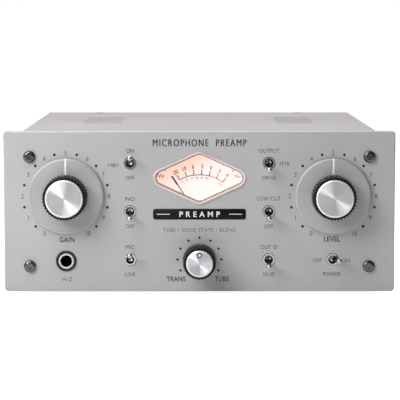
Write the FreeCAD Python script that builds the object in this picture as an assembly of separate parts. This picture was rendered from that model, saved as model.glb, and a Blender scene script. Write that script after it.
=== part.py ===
"""Half-rack microphone preamp: case, front controls, meter, boards, tube, power supply and rear connectors.

Millimetres. +X is to the right seen from the front, +Y runs from the front to the back, +Z is up.
The origin is on the table under the middle of the whole object, knobs and rear connectors included.
Every node is written to parts/NODE.step.
"""

import FreeCAD
import Part
import math
import os

Vector = FreeCAD.Vector

# ---------------------------------------------------------------- driving dimensions
# Front panel: two rack units high, half a 17 inch rack opening wide.
PANEL_W = 215.9
PANEL_H = 88.9
PANEL_T = 4.0
PANEL_CORNER_R = 2.0
PANEL_EDGE_R = 0.8

# Case behind the panel.
CASE_DEPTH = 240.0          # front face of the panel to the outer face of the rear panel
PANEL_OVERHANG = 7.0        # panel beyond the case at each side
CASE_INSET = 1.5            # panel beyond the case above and below
COVER_T = 1.0
COVER_BEND_R = 2.0
TRAY_T = 1.2
REAR_T = 1.5
FOOT_H = 4.5
SHEET_GAP = 0.15            # between sheet metal parts that slide into each other
PANEL_GAP = 5.0             # front panel to the chassis front wall, room for the hidden nuts
SIDE_FLANGE_H = 12.0
REAR_FLANGE_H = 12.0
UPPER_FLANGE_D = 12.0       # upper side flanges of the front wall, top flange of the rear panel
UPPER_FLANGE_GAP = 1.0      # between the upper and the low side flanges
UPPER_SCREW_DROP = 16.0     # upper side screws below the case's top
REAR_SCREW_INSET = 8.0
FLANGE_SCREW_RISE = 1.0     # screws above the middle of the low flanges

# Vent slots in the cover: two groups of cross slots.
VENT_X = 58.5
VENT_LENGTH = 23.0
VENT_WIDTH = 2.6
VENT_PITCH = 7.4
VENT_ROWS = 10
VENT_MIDDLE = 141.0         # behind the panel's front face

# Layout of the front panel.
DIAL_EDGE_X = 34.25         # axis of a large dial to the panel's side edge
DIAL_DROP = 35.9            # axis of a large dial to the panel's upper edge
SWITCH_METER_GAP = 9.3      # switch column to the side of the meter's housing
LOW_ROW_Z = 17.8            # lowest row of controls above the panel's lower edge
TOP_ROW_DROP = 17.6         # highest row of switches to the panel's upper edge
JACK_Z = 17.0
SCREW_EDGE_X = 14.25
SCREW_EDGE_Z = 14.1
METER_DROP = 25.8           # middle of the meter window to the panel's upper edge

# Fasteners.
M4_R = 2.0
M3_R = 1.5
THREAD_GAP = 0.05           # radial, screw in its tapped hole
SCREW_GAP = 0.25            # radial, screw in a clearance hole
PANEL_HEAD_R = 3.4
PANEL_HEAD_H = 2.2
PANEL_HEX_AF = 2.5
PANEL_HEX_DEPTH = 1.3
PANEL_SCREW_TAIL = 2.0      # panel screws behind the chassis wall
CASE_HEAD_R = 2.85
CASE_HEAD_H = 1.65
CASE_HEX_AF = 2.0
CASE_HEX_DEPTH = 0.9
CASE_SCREW_L = 6.0
FLUSH_HEAD_R = 2.8
FLUSH_HEAD_GAP = 0.05
FLUSH_HEX_DEPTH = 0.6
FLUSH_SCREW_X = 66.0
SPACER_R = 4.0
POST_R = 3.0
POST_GAP = 0.1              # bottom of a tapped post under its screw's end

# Feet.
FOOT_R = 8.0
FOOT_TAPER = 1.0
FOOT_EDGE_R = 0.6
FOOT_RECESS_R = 3.4
FOOT_RECESS_H = 2.6
FOOT_HEAD_H = 1.7
FOOT_SCREW_TAIL = 2.0
FOOT_SIDE = 18.0            # foot centre to the case's side
FOOT_FRONT = 38.0           # foot centre behind the panel's front face
FOOT_REAR = 22.0            # foot centre in front of the rear panel

# Potentiometers.
POT_R = 8.5
POT_DEPTH = 9.0
POT_BUSHING_R = 4.75
POT_BUSHING_SUNK = 0.7      # bushing's end behind the panel's front face
SHAFT_R = 3.175
SHAFT_GAP = 0.06            # radial, shaft in its bushing
KNOB_BORE_GAP = 0.02        # radial, shaft in its knob
SHAFT_TAIL = 3.0            # shaft inside the potentiometer's body
SHAFT_END_GAP = 0.5
HOLE_GAP = 0.3              # radial, panel hole round a bushing
NUT_T = 2.0
NUT_GAP = 0.05
POT_NUT_AF = 12.7
TERMINAL_W = 1.2
TERMINAL_PITCH = 4.8
TERMINAL_DROP = 7.0         # terminals below the shaft's axis

# Large knob: skirt, fluted grip and turned cap.
SKIRT_R = 21.0
SKIRT_GAP = 0.8             # under the skirt's rim
SKIRT_T = 1.2
SKIRT_RISE = 1.3            # the flat of the skirt above its rim
SKIRT_BEVEL = 2.0
GRIP_RIM = 1.1              # grip beyond its cap
GRIP_FLARE = 0.8            # foot of the grip beyond its front
GRIP_H = 14.0
GRIP_FLUTES = 44
GRIP_FLUTE_DEPTH = 0.55
GRIP_EDGE = 0.5
CAP_R = 10.3
CAP_T = 1.2
CAP_PROUD = 0.4
CAP_EDGE = 0.35
CAP_GAP = 0.03
SHAFT_IN_KNOB = 10.0

# Small knob.
BLEND_RIM = 0.8
BLEND_FLARE = 1.1
BLEND_H = 18.8
BLEND_GAP = 1.0
BLEND_FLUTES = 32
BLEND_FLUTE_DEPTH = 0.5
BLEND_CAP_R = 7.3
DIMPLE_R = 1.35
DIMPLE_DEPTH = 0.45
DIMPLE_PLACE = 4.55         # dimple centre to the knob's axis
SET_SCREW_L = 4.0
SET_SCREW_HEIGHT = 4.5      # above the grip's foot

# Toggle switches.
BUSHING_R = 3.175
BUSHING_WALL = 0.775
BUSHING_PROUD = 0.5
PIVOT_DEPTH = 4.2           # lever pivot behind the bushing's mouth
BALL_GAP = 0.25
NECK_R = 1.0
NECK_L = 4.5
BAT_R = 1.5
BAT_L = 14.3                # pivot to the tip
LEVER_TILT = 14.5
SWITCH_NUT_AF = 8.0
SWITCH_W = 8.0
SWITCH_L = 13.2
SWITCH_DEPTH = 9.5
SWITCH_EDGE_R = 0.8
SWITCH_PIN_PITCH = 4.7

# Instrument jack for a quarter inch plug.
JACK_BORE_R = 3.25
JACK_WALL_T = 1.45
JACK_HOLE_GAP = 1.1         # panel hole round the jack's bushing
JACK_PROUD = 0.3
JACK_NUT_AF = 12.7
JACK_BODY_W = 16.0
JACK_BODY_H = 15.0
JACK_BODY_L = 27.0
JACK_CAVITY_R = 4.6
JACK_WALL = 1.5

# Meter with a lozenge window.
WINDOW_HALF_W = 25.5
WINDOW_SLOPE = 24.6         # degrees, window sides to the horizontal
WINDOW_CORNER_R = 5.4
WINDOW_GAP = 0.15
LENS_PROUD = 1.0
LENS_WALL = 1.4
LENS_FRONT_T = 1.2
LENS_EDGE_R = 0.6
LENS_FLANGE_T = 1.3
METER_SIDE = 3.5            # housing beyond the window's side corner
METER_ABOVE = 18.5          # housing above the window's middle
METER_BELOW = 27.0
METER_DEPTH = 28.0
METER_WALL = 1.5
METER_GAP = 0.5             # chassis wall opening round the housing
DIAL_PLATE_T = 0.8
DIAL_PLATE_DEPTH = 9.2      # dial plate's face behind the panel's front face
DIAL_PLATE_BELOW = 17.5     # plate below the window's middle
PIVOT_BELOW = 22.4          # needle axis below the window's middle
NEEDLE_L = 27.7
NEEDLE_REST = 34.0          # degrees left of upright
NEEDLE_T = 0.35
NEEDLE_CLEAR = 1.3          # needle in front of the dial plate
NEEDLE_TIP_L = 6.0
NEEDLE_TIP_W = 0.9
NEEDLE_STEM_W = 0.5
NEEDLE_TAIL = 2.5
HUB_R = 1.2
HUB_GAP = 0.08
HUB_SEAT = 4.0              # hub inside the movement's bearing
MOVEMENT_R = 12.0
MOVEMENT_L = 12.0
MOVEMENT_GAP = 0.4          # behind the dial plate
MOVEMENT_POST_R = 4.0
BEARING_DEPTH = 4.5
LAMP_R = 2.0
LAMP_L = 7.0
LAMP_GAP = 1.5              # behind the dial plate
LAMP_HOLDER_R = 3.0
LAMP_X = 17.0
LAMP_DROP = 4.0             # lamp axis below the housing's inner top

# Boards and what stands on them. Depths are behind the panel's front face.
BOARD_T = 1.6
BOARD_LIFT = 8.0
BOARD_SIDE_GAP = 4.6        # board to the tray's side flanges
BOARD_START = 42.0
BOARD_CORE_GAP = 6.0        # board to the power transformer
BOARD_POST_INSET = 8.0
BOARD_SCREW_L = 6.6
CONTROL_BOARD_GAP = 2.2     # behind the potentiometers
CONTROL_BOARD_SIDE_GAP = 3.6
CONTROL_BOARD_MARGIN_Z = 8.0
SOCKET_R = 11.5
SOCKET_H = 9.0
TUBE_R = 10.8
TUBE_H = 46.0
TUBE_PIP_R = 2.0
TUBE_PIP_H = 3.0
TUBE_POST_GAP = 30.0        # tube axis to the middle board posts
TUBE_INSET = 17.0           # tube axis behind the board's front edge
CAPACITOR_R = 8.0
CAPACITOR_H = 32.0
CAPACITORS = 4
CAPACITOR_PITCH = 19.0
CAPACITOR_INSET = 14.0      # capacitors to the board's rear edge
CAPACITOR_SIDE = 24.0       # outermost capacitor to the board's side edge
CAPACITOR_POST_GAP = 5.0    # innermost capacitor to the middle board posts
SINK_W = 40.0
SINK_H = 30.0
SINK_FIN = 1.6
SINK_FINS = 6
SINK_DEPTH = 10.8
SINK_SIDE = 32.0            # middle of the heat sink to the board's side edge
SINK_INSET = 22.0           # heat sink's face to the board's rear edge
CORE_R = 34.0
CORE_HOLE_R = 11.0
CORE_H = 34.0
CORE_EDGE_R = 8.0
CORE_SIDE_GAP = 14.6        # transformer to the tray's side flange
CORE_REAR_GAP = 32.0        # transformer to the rear panel, room for the sockets
CLAMP_R = 20.0
CLAMP_T = 2.0
CLAMP_BOLT_R = 3.0

# Rear connectors.
XLR_SPACE = 6.0             # between neighbouring flanges
XLR_EDGE_X = 28.95          # first connector's axis to the case's side
XLR_Z = 44.0
XLR_MARGIN_W = 1.2          # flange beyond the barrel, sideways
XLR_MARGIN_H = 3.7          # and up and down
XLR_FLANGE_T = 2.0
XLR_FLANGE_R = 3.0
XLR_BARREL_R = 11.8
XLR_BARREL_L = 21.0
XLR_FEMALE_R = 9.6
XLR_MALE_R = 8.3
XLR_DEPTH = 17.0            # mouth of the flange to the cavity's floor
XLR_CORE_R = 7.2
XLR_CORE_L = 15.5
XLR_MALE_CORE_L = 3.0
XLR_PIN_CIRCLE = 4.1
XLR_PIN_R = 1.2
XLR_PIN_L = 12.0
XLR_PIN_GAP = 0.03
XLR_PIN_SEAT = 1.0          # foot of the contacts above the cavity's floor
XLR_SCREW_INSET = 3.5       # screw axes to the flange's edges
XLR_SCREW_R = 2.6
XLR_SCREW_HEAD = 1.3
XLR_SCREW_L = 7.0
LATCH_W = 7.0
LATCH_H = 3.2
LATCH_RISE = 0.8            # latch above the female cavity
LATCH_PROUD = 1.6
LATCH_L = 9.6
LATCH_TRAVEL = 1.4
LATCH_GAP = 0.2
INLET_EDGE_X = 38.95        # inlet's middle to the case's side
INLET_Z = 44.0
INLET_W = 31.0
INLET_H = 41.0
INLET_FLANGE_T = 3.0
INLET_BODY_W = 28.0
INLET_BODY_H = 37.0
INLET_BODY_L = 34.0
INLET_POCKET_W = 25.6
INLET_POCKET_H = 18.6
INLET_POCKET_D = 17.0
INLET_POCKET_UP = 7.0       # pocket's middle above the flange's middle
INLET_CHAMFER = 5.0
INLET_CORNER_R = 2.0
INLET_EDGE_R = 0.6
BLADE_W = 2.0
BLADE_H = 4.0
BLADE_L = 14.0
BLADE_X = 7.0
EARTH_UP = 4.0
DRAWER_W = 21.6
DRAWER_H = 8.6
DRAWER_L = 26.0
DRAWER_PROUD = 0.8
DRAWER_DOWN = 13.0          # drawer's middle below the flange's middle
DRAWER_GAP = 0.2
DRAWER_LIP = 2.2
DRAWER_WALL = 1.5
DRAWER_FRONT_T = 4.0

# ---------------------------------------------------------------- derived places
KNOB_REACH = BLEND_GAP + BLEND_H + CAP_PROUD
REAR_REACH = XLR_FLANGE_T + LATCH_PROUD
FRONT_Y = (KNOB_REACH - REAR_REACH - CASE_DEPTH) / 2
REAR_Y = FRONT_Y + CASE_DEPTH
PANEL_BACK_Y = FRONT_Y + PANEL_T
WALL_Y = PANEL_BACK_Y + PANEL_GAP
WALL_BACK_Y = WALL_Y + TRAY_T
PANEL_Z = FOOT_H - CASE_INSET
CASE_HALF_W = PANEL_W / 2 - PANEL_OVERHANG
CASE_TOP = PANEL_Z + PANEL_H - CASE_INSET
TRAY_HALF_W = CASE_HALF_W - COVER_T - SHEET_GAP
TRAY_INNER_HALF_W = TRAY_HALF_W - TRAY_T
FLOOR_Z = FOOT_H + TRAY_T
DIAL_X = PANEL_W / 2 - DIAL_EDGE_X
DIAL_Z = PANEL_H - DIAL_DROP
TOP_ROW_Z = PANEL_H - TOP_ROW_DROP
MIDDLE_ROW_Z = (LOW_ROW_Z + TOP_ROW_Z) / 2
WINDOW_Z = PANEL_Z + PANEL_H - METER_DROP
GRIP_FRONT_R = CAP_R + GRIP_RIM
GRIP_R = GRIP_FRONT_R + GRIP_FLARE
BLEND_FRONT_R = BLEND_CAP_R + BLEND_RIM
BLEND_GRIP_R = BLEND_FRONT_R + BLEND_FLARE
BUSHING_MOUTH_R = BUSHING_R - BUSHING_WALL
BALL_R = BUSHING_MOUTH_R - BALL_GAP
JACK_BUSHING_R = JACK_BORE_R + JACK_WALL_T
JACK_HOLE_R = JACK_BUSHING_R + JACK_HOLE_GAP
POT_BUSHING_END = FRONT_Y + POT_BUSHING_SUNK
METER_HALF_W = WINDOW_HALF_W + METER_SIDE
SWITCH_X = METER_HALF_W + SWITCH_METER_GAP
CORE_X = -(TRAY_INNER_HALF_W - CORE_SIDE_GAP - CORE_R)
CORE_Y = REAR_Y - CORE_REAR_GAP - CORE_R
BOARD_Z = FLOOR_Z + BOARD_LIFT
BOARD_TOP = BOARD_Z + BOARD_T
BOARD_HALF_W = TRAY_INNER_HALF_W - BOARD_SIDE_GAP
BOARD_FRONT_Y = FRONT_Y + BOARD_START
BOARD_REAR_Y = CORE_Y - CORE_R - BOARD_CORE_GAP
CAPACITORS_LEFT_X = BOARD_HALF_W - CAPACITOR_SIDE - (CAPACITORS - 1) * CAPACITOR_PITCH - CAPACITOR_R
MIDDLE_POST_X = CAPACITORS_LEFT_X - CAPACITOR_POST_GAP
TUBE_X = MIDDLE_POST_X + TUBE_POST_GAP
XLR_FLANGE_W = 2 * (XLR_BARREL_R + XLR_MARGIN_W)
XLR_FLANGE_H = 2 * (XLR_BARREL_R + XLR_MARGIN_H)
XLR_SCREW_X = XLR_FLANGE_W / 2 - XLR_SCREW_INSET
XLR_SCREW_Z = XLR_FLANGE_H / 2 - XLR_SCREW_INSET
LATCH_LOW = XLR_FEMALE_R + LATCH_RISE
INLET_X = CASE_HALF_W - INLET_EDGE_X
CONTROL_BOARD_Y = WALL_BACK_Y + max(POT_DEPTH, SWITCH_DEPTH) + CONTROL_BOARD_GAP
REAR_SCREW_Z = FOOT_H + REAR_FLANGE_H / 2 + FLANGE_SCREW_RISE
SIDE_SCREW_Z = FOOT_H + SIDE_FLANGE_H / 2 + FLANGE_SCREW_RISE
UPPER_SCREW_Z = CASE_TOP - UPPER_SCREW_DROP
UPPER_FLANGE_LOW = FOOT_H + SIDE_FLANGE_H + UPPER_FLANGE_GAP
SHEET_TOP = CASE_TOP - COVER_T - SHEET_GAP

KNOB_AXES = {"gain": (-DIAL_X, DIAL_Z), "level": (DIAL_X, DIAL_Z), "blend": (0.0, LOW_ROW_Z)}
# Each switch: across, up, and where its lever rests.
SWITCHES = {
    "phantom": (-SWITCH_X, TOP_ROW_Z, "up"),
    "pad": (-SWITCH_X, MIDDLE_ROW_Z, "down"),
    "input": (-SWITCH_X, LOW_ROW_Z, "up"),
    "meter": (SWITCH_X, TOP_ROW_Z, "down"),
    "low_cut": (SWITCH_X, MIDDLE_ROW_Z, "down"),
    "polarity": (SWITCH_X, LOW_ROW_Z, "down"),
    "power": (DIAL_X, LOW_ROW_Z, "right"),
}


# ---------------------------------------------------------------- shape helpers
def box(x, y, z):
    """A block from three (low, high) pairs."""
    return Part.makeBox(x[1] - x[0], y[1] - y[0], z[1] - z[0], Vector(x[0], y[0], z[0]))


def rod_y(radius, y, x, z):
    """A cylinder along Y between the two values in y."""
    return Part.makeCylinder(radius, y[1] - y[0], Vector(x, y[0], z), Vector(0, 1, 0))


def rod_x(radius, x, y, z):
    return Part.makeCylinder(radius, x[1] - x[0], Vector(x[0], y, z), Vector(1, 0, 0))


def rod_z(radius, z, x, y):
    return Part.makeCylinder(radius, z[1] - z[0], Vector(x, y, z[0]), Vector(0, 0, 1))


def ring_y(outer, inner, y, x, z):
    return rod_y(outer, y, x, z).cut(rod_y(inner, y, x, z))


def hex_prism_y(across_flats, y, x, z):
    corner = across_flats / math.sqrt(3)
    points = []
    for k in range(7):
        angle = math.radians(60 * k)
        points.append(Vector(x + corner * math.cos(angle), y[0], z + corner * math.sin(angle)))
    face = Part.Face(Part.makePolygon(points))
    return face.extrude(Vector(0, y[1] - y[0], 0))


def revolve_y(outline, x, z):
    """Turns (radius, y) points about the line along Y through x, z."""
    points = [Vector(x + radius, y, z) for radius, y in outline]
    face = Part.Face(Part.makePolygon(points + points[:1]))
    return face.revolve(Vector(x, 0, z), Vector(0, 1, 0), 360)


def cut_all(shape, tools):
    return shape.cut(tools) if tools else shape


def mirrored_x(values):
    return [sign * abs(v) for v in values for sign in (-1, 1)]


def round_edges(shape, radius, wanted):
    """Rounds the edges for which wanted(edge) is true."""
    return shape.makeFillet(radius, [edge for edge in shape.Edges if wanted(edge)])


def runs_along(edge, axis):
    """True for a straight edge along an axis, given as 0, 1 or 2."""
    ends = [vertex.Point for vertex in edge.Vertexes]
    if len(ends) < 2:
        return False
    step = ends[1] - ends[0]
    return edge.Curve.TypeId == "Part::GeomLine" and abs(abs(step[axis]) - step.Length) < 1e-6


def lies_at(edge, axis, value):
    low, high = [(edge.BoundBox.XMin, edge.BoundBox.XMax), (edge.BoundBox.YMin, edge.BoundBox.YMax),
                 (edge.BoundBox.ZMin, edge.BoundBox.ZMax)][axis]
    return abs(low - value) < 1e-4 and abs(high - value) < 1e-4


def lozenge(offset, y):
    """The meter window's outline grown by offset, as a block between the two values in y."""
    slope = math.radians(WINDOW_SLOPE)
    radius = WINDOW_CORNER_R + offset
    point_x = WINDOW_HALF_W + offset + radius * (1 / math.sin(slope) - 1)
    point_z = point_x * math.tan(slope)
    side_x = point_x - radius / math.sin(slope)
    top_z = point_z - radius / math.cos(slope)

    def at(x, z):
        return Vector(x, y[0], WINDOW_Z + z)

    out_x = radius * math.sin(slope)
    out_z = radius * math.cos(slope)
    edges = []
    edges.append(Part.Arc(at(side_x + out_x, -out_z), at(side_x + radius, 0), at(side_x + out_x, out_z)))
    edges.append(Part.LineSegment(at(side_x + out_x, out_z), at(out_x, top_z + out_z)))
    edges.append(Part.Arc(at(out_x, top_z + out_z), at(0, top_z + radius), at(-out_x, top_z + out_z)))
    edges.append(Part.LineSegment(at(-out_x, top_z + out_z), at(-side_x - out_x, out_z)))
    edges.append(Part.Arc(at(-side_x - out_x, out_z), at(-side_x - radius, 0), at(-side_x - out_x, -out_z)))
    edges.append(Part.LineSegment(at(-side_x - out_x, -out_z), at(-out_x, -top_z - out_z)))
    edges.append(Part.Arc(at(-out_x, -top_z - out_z), at(0, -top_z - radius), at(out_x, -top_z - out_z)))
    edges.append(Part.LineSegment(at(out_x, -top_z - out_z), at(side_x + out_x, -out_z)))
    wire = Part.Wire([edge.toShape() for edge in edges])
    return Part.Face(wire).extrude(Vector(0, y[1] - y[0], 0))


def button_screw(head_r, head_h, hex_af, hex_depth, shank_r, shank_l):
    """A button-head screw: its head's underside is at the origin and its shank runs along +Y."""
    flat_r = head_r * 0.55
    rim = head_h * 0.3
    dome = [Vector(0, 0, 0), Vector(head_r, 0, 0), Vector(head_r, -rim, 0)]
    shoulder = Part.Arc(dome[2], Vector(head_r * 0.87, -head_h * 0.78, 0), Vector(flat_r, -head_h, 0))
    lines = [
        Part.LineSegment(dome[0], dome[1]).toShape(),
        Part.LineSegment(dome[1], dome[2]).toShape(),
        shoulder.toShape(),
        Part.LineSegment(Vector(flat_r, -head_h, 0), Vector(0, -head_h, 0)).toShape(),
        Part.LineSegment(Vector(0, -head_h, 0), dome[0]).toShape(),
    ]
    head = Part.Face(Part.Wire(lines)).revolve(Vector(0, 0, 0), Vector(0, 1, 0), 360)
    head = head.cut(hex_prism_y(hex_af, (-head_h - 1, -head_h + hex_depth), 0, 0))
    return head.fuse(rod_y(shank_r, (0, shank_l), 0, 0)).removeSplitter()


def placed(shape, position, direction):
    """A copy of a screw made along +Y, with its shank turned to direction and its seat at position."""
    copy = shape.copy()
    turn = FreeCAD.Rotation(Vector(0, 1, 0), Vector(*direction))
    copy.Placement = FreeCAD.Placement(Vector(*position), turn)
    return copy


# ---------------------------------------------------------------- places shared by several parts
def panel_screw_places():
    for x in (-1, 1):
        for z in (SCREW_EDGE_Z, PANEL_H - SCREW_EDGE_Z):
            yield x * (PANEL_W / 2 - SCREW_EDGE_X), PANEL_Z + z


def side_screw_places():
    """The screws in one side of the cover: three along the low flange and one in the upper flange."""
    first = WALL_BACK_Y + UPPER_FLANGE_D / 2
    last = REAR_Y - REAR_T - UPPER_FLANGE_D / 2
    low = [(y, SIDE_SCREW_Z) for y in (first, (first + last) / 2, last)]
    return low + [(first, UPPER_SCREW_Z)]


def side_screw_holes(radius):
    """Holes right across the case for the screws of both sides."""
    span = (-CASE_HALF_W - 1, CASE_HALF_W + 1)
    return [rod_x(radius, span, y, z) for y, z in side_screw_places()]


def flush_screw_places():
    """The countersunk screws through the top of the cover into the rear panel's flange."""
    return [(x, REAR_Y - REAR_T - UPPER_FLANGE_D / 2) for x in mirrored_x([FLUSH_SCREW_X])]


def rear_screw_places():
    """One screw near each side and one between the last socket and the mains inlet."""
    between = (xlr_places()[-1][0] + INLET_X) / 2
    return [-TRAY_HALF_W + REAR_SCREW_INSET, between, TRAY_HALF_W - REAR_SCREW_INSET]


def foot_places():
    for x in mirrored_x([CASE_HALF_W - FOOT_SIDE]):
        for y in (FRONT_Y + FOOT_FRONT, REAR_Y - FOOT_REAR):
            yield x, y


def board_post_places():
    """Posts near the board's four corners, and two in the middle."""
    for x in (-BOARD_HALF_W + BOARD_POST_INSET, MIDDLE_POST_X, BOARD_HALF_W - BOARD_POST_INSET):
        for y in (BOARD_FRONT_Y + BOARD_POST_INSET, BOARD_REAR_Y - BOARD_POST_INSET):
            yield x, y


def xlr_places():
    """Microphone in, line in, line out."""
    first = -CASE_HALF_W + XLR_EDGE_X
    return [(first + k * (XLR_FLANGE_W + XLR_SPACE), PANEL_Z + XLR_Z) for k in range(3)]


def xlr_screw_places():
    for x, z in xlr_places():
        yield x - XLR_SCREW_X, z + XLR_SCREW_Z
        yield x + XLR_SCREW_X, z - XLR_SCREW_Z


# ---------------------------------------------------------------- case
def front_panel():
    half = PANEL_W / 2
    plate = box((-half, half), (FRONT_Y, PANEL_BACK_Y), (PANEL_Z, PANEL_Z + PANEL_H))
    plate = round_edges(plate, PANEL_CORNER_R, lambda edge: runs_along(edge, 1))
    plate = round_edges(plate, PANEL_EDGE_R, lambda edge: lies_at(edge, 1, FRONT_Y))
    through = (FRONT_Y - 1, PANEL_BACK_Y + 1)
    tools = [lozenge(WINDOW_GAP, through)]
    for x, z in KNOB_AXES.values():
        tools.append(rod_y(POT_BUSHING_R + HOLE_GAP, through, x, PANEL_Z + z))
    for x, z, _ in SWITCHES.values():
        tools.append(rod_y(BUSHING_R + HOLE_GAP, through, x, PANEL_Z + z))
    tools.append(rod_y(JACK_HOLE_R, through, -DIAL_X, PANEL_Z + JACK_Z))
    for x, z in panel_screw_places():
        tools.append(rod_y(M4_R + SCREW_GAP, through, x, z))
    return cut_all(plate, tools)


def panel_screws():
    length = PANEL_T + PANEL_GAP + TRAY_T + PANEL_SCREW_TAIL
    screw = button_screw(PANEL_HEAD_R, PANEL_HEAD_H, PANEL_HEX_AF, PANEL_HEX_DEPTH, M4_R, length)
    return [placed(screw, (x, FRONT_Y, z), (0, 1, 0)) for x, z in panel_screw_places()]


def chassis_tray():
    """Folded tray with a front wall and flanges, pressed-in spacers at the front and board posts inside."""
    end_y = REAR_Y - REAR_T
    wide = (-TRAY_HALF_W, TRAY_HALF_W)
    floor = box(wide, (PANEL_BACK_Y, end_y), (FOOT_H, FLOOR_Z))
    wall = box(wide, (WALL_Y, WALL_BACK_Y), (FOOT_H, SHEET_TOP))
    rear = box(wide, (end_y - TRAY_T, end_y), (FOOT_H, FOOT_H + REAR_FLANGE_H))
    flange_z = (FOOT_H, FOOT_H + SIDE_FLANGE_H)
    left = box((-TRAY_HALF_W, -TRAY_HALF_W + TRAY_T), (WALL_Y, end_y), flange_z)
    right = box((TRAY_HALF_W - TRAY_T, TRAY_HALF_W), (WALL_Y, end_y), flange_z)
    upper_y = (WALL_Y, WALL_BACK_Y + UPPER_FLANGE_D)
    upper_z = (UPPER_FLANGE_LOW, SHEET_TOP - COVER_BEND_R)
    upper_left = box((-TRAY_HALF_W, -TRAY_HALF_W + TRAY_T), upper_y, upper_z)
    upper_right = box((TRAY_HALF_W - TRAY_T, TRAY_HALF_W), upper_y, upper_z)
    tray = floor.fuse([wall, rear, left, right, upper_left, upper_right]).removeSplitter()
    tray = round_edges(tray, COVER_BEND_R - SHEET_GAP, lambda edge: runs_along(edge, 1)
                       and lies_at(edge, 2, SHEET_TOP))
    spacers = [rod_y(SPACER_R, (PANEL_BACK_Y, WALL_Y), x, z) for x, z in panel_screw_places()]
    posts = [rod_z(POST_R, (FLOOR_Z, BOARD_Z), x, y) for x, y in board_post_places()]
    tray = tray.fuse(spacers + posts).removeSplitter()

    through = (WALL_Y - 1, WALL_BACK_Y + 1)
    half_w = METER_HALF_W + METER_GAP
    tools = [box((-half_w, half_w), through,
                 (WINDOW_Z - METER_BELOW - METER_GAP, WINDOW_Z + METER_ABOVE + METER_GAP))]
    for x, z in KNOB_AXES.values():
        tools.append(rod_y(POT_BUSHING_R + SHEET_GAP, through, x, PANEL_Z + z))
    for x, z, _ in SWITCHES.values():
        tools.append(rod_y(BUSHING_R + SHEET_GAP, through, x, PANEL_Z + z))
    tools.append(rod_y(JACK_BUSHING_R + SHEET_GAP, through, -DIAL_X, PANEL_Z + JACK_Z))
    for x, z in panel_screw_places():
        tools.append(rod_y(M4_R + THREAD_GAP, (PANEL_BACK_Y - 1, WALL_BACK_Y + 1), x, z))
    for x, y in board_post_places():
        tools.append(rod_z(M3_R + THREAD_GAP, (BOARD_TOP - BOARD_SCREW_L - POST_GAP, BOARD_Z + 1), x, y))
    tools += side_screw_holes(M3_R + THREAD_GAP)
    for x in rear_screw_places():
        tools.append(rod_y(M3_R + THREAD_GAP, (end_y - TRAY_T - 1, end_y + 1), x, REAR_SCREW_Z))
    floor_span = (FOOT_H - 1, FLOOR_Z + 1)
    for x, y in foot_places():
        tools.append(rod_z(M3_R + THREAD_GAP, floor_span, x, y))
    tools.append(rod_z(CLAMP_BOLT_R + THREAD_GAP, floor_span, CORE_X, CORE_Y))
    return cut_all(tray, tools)


def top_cover():
    """Folded cover: top and both sides, open at the front, the back and below."""
    span = (PANEL_BACK_Y, REAR_Y)
    outer = box((-CASE_HALF_W, CASE_HALF_W), span, (FOOT_H, CASE_TOP))
    outer = round_edges(outer, COVER_BEND_R, lambda edge: runs_along(edge, 1) and lies_at(edge, 2, CASE_TOP))
    inner_half = CASE_HALF_W - COVER_T
    inner_top = CASE_TOP - COVER_T
    inner = box((-inner_half, inner_half), span, (FOOT_H, inner_top))
    inner = round_edges(inner, COVER_BEND_R - COVER_T,
                        lambda edge: runs_along(edge, 1) and lies_at(edge, 2, inner_top))
    cover = outer.cut(inner)

    tools = []
    above = (CASE_TOP - COVER_T - 1, CASE_TOP + 1)
    for x in mirrored_x([VENT_X]):
        for row in range(VENT_ROWS):
            y = FRONT_Y + VENT_MIDDLE + (row - (VENT_ROWS - 1) / 2) * VENT_PITCH
            half = (VENT_LENGTH - VENT_WIDTH) / 2
            tools.append(box((x - half, x + half), (y - VENT_WIDTH / 2, y + VENT_WIDTH / 2), above))
            tools.append(rod_z(VENT_WIDTH / 2, above, x - half, y))
            tools.append(rod_z(VENT_WIDTH / 2, above, x + half, y))
    tools += side_screw_holes(M3_R + SCREW_GAP)
    for x, y in flush_screw_places():
        tools.append(flush_head(x, y, FLUSH_HEAD_GAP))
    return cut_all(cover, tools)


def flush_head(x, y, gap):
    """The cone of a countersunk head through the cover's sheet, or its seat when gap is above zero."""
    low = Vector(x, y, CASE_TOP - COVER_T)
    return Part.makeCone(FLUSH_HEAD_R - COVER_T + gap, FLUSH_HEAD_R + gap, COVER_T, low)


def flush_screws():
    screws = []
    for x, y in flush_screw_places():
        screw = flush_head(x, y, 0).fuse(rod_z(M3_R, (CASE_TOP - CASE_SCREW_L, CASE_TOP - COVER_T), x, y))
        socket = hex_prism_y(CASE_HEX_AF, (0, FLUSH_HEX_DEPTH), 0, 0)
        socket = placed(socket, (x, y, CASE_TOP), (0, 0, -1))
        screws.append(screw.removeSplitter().cut(socket))
    return screws


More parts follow.
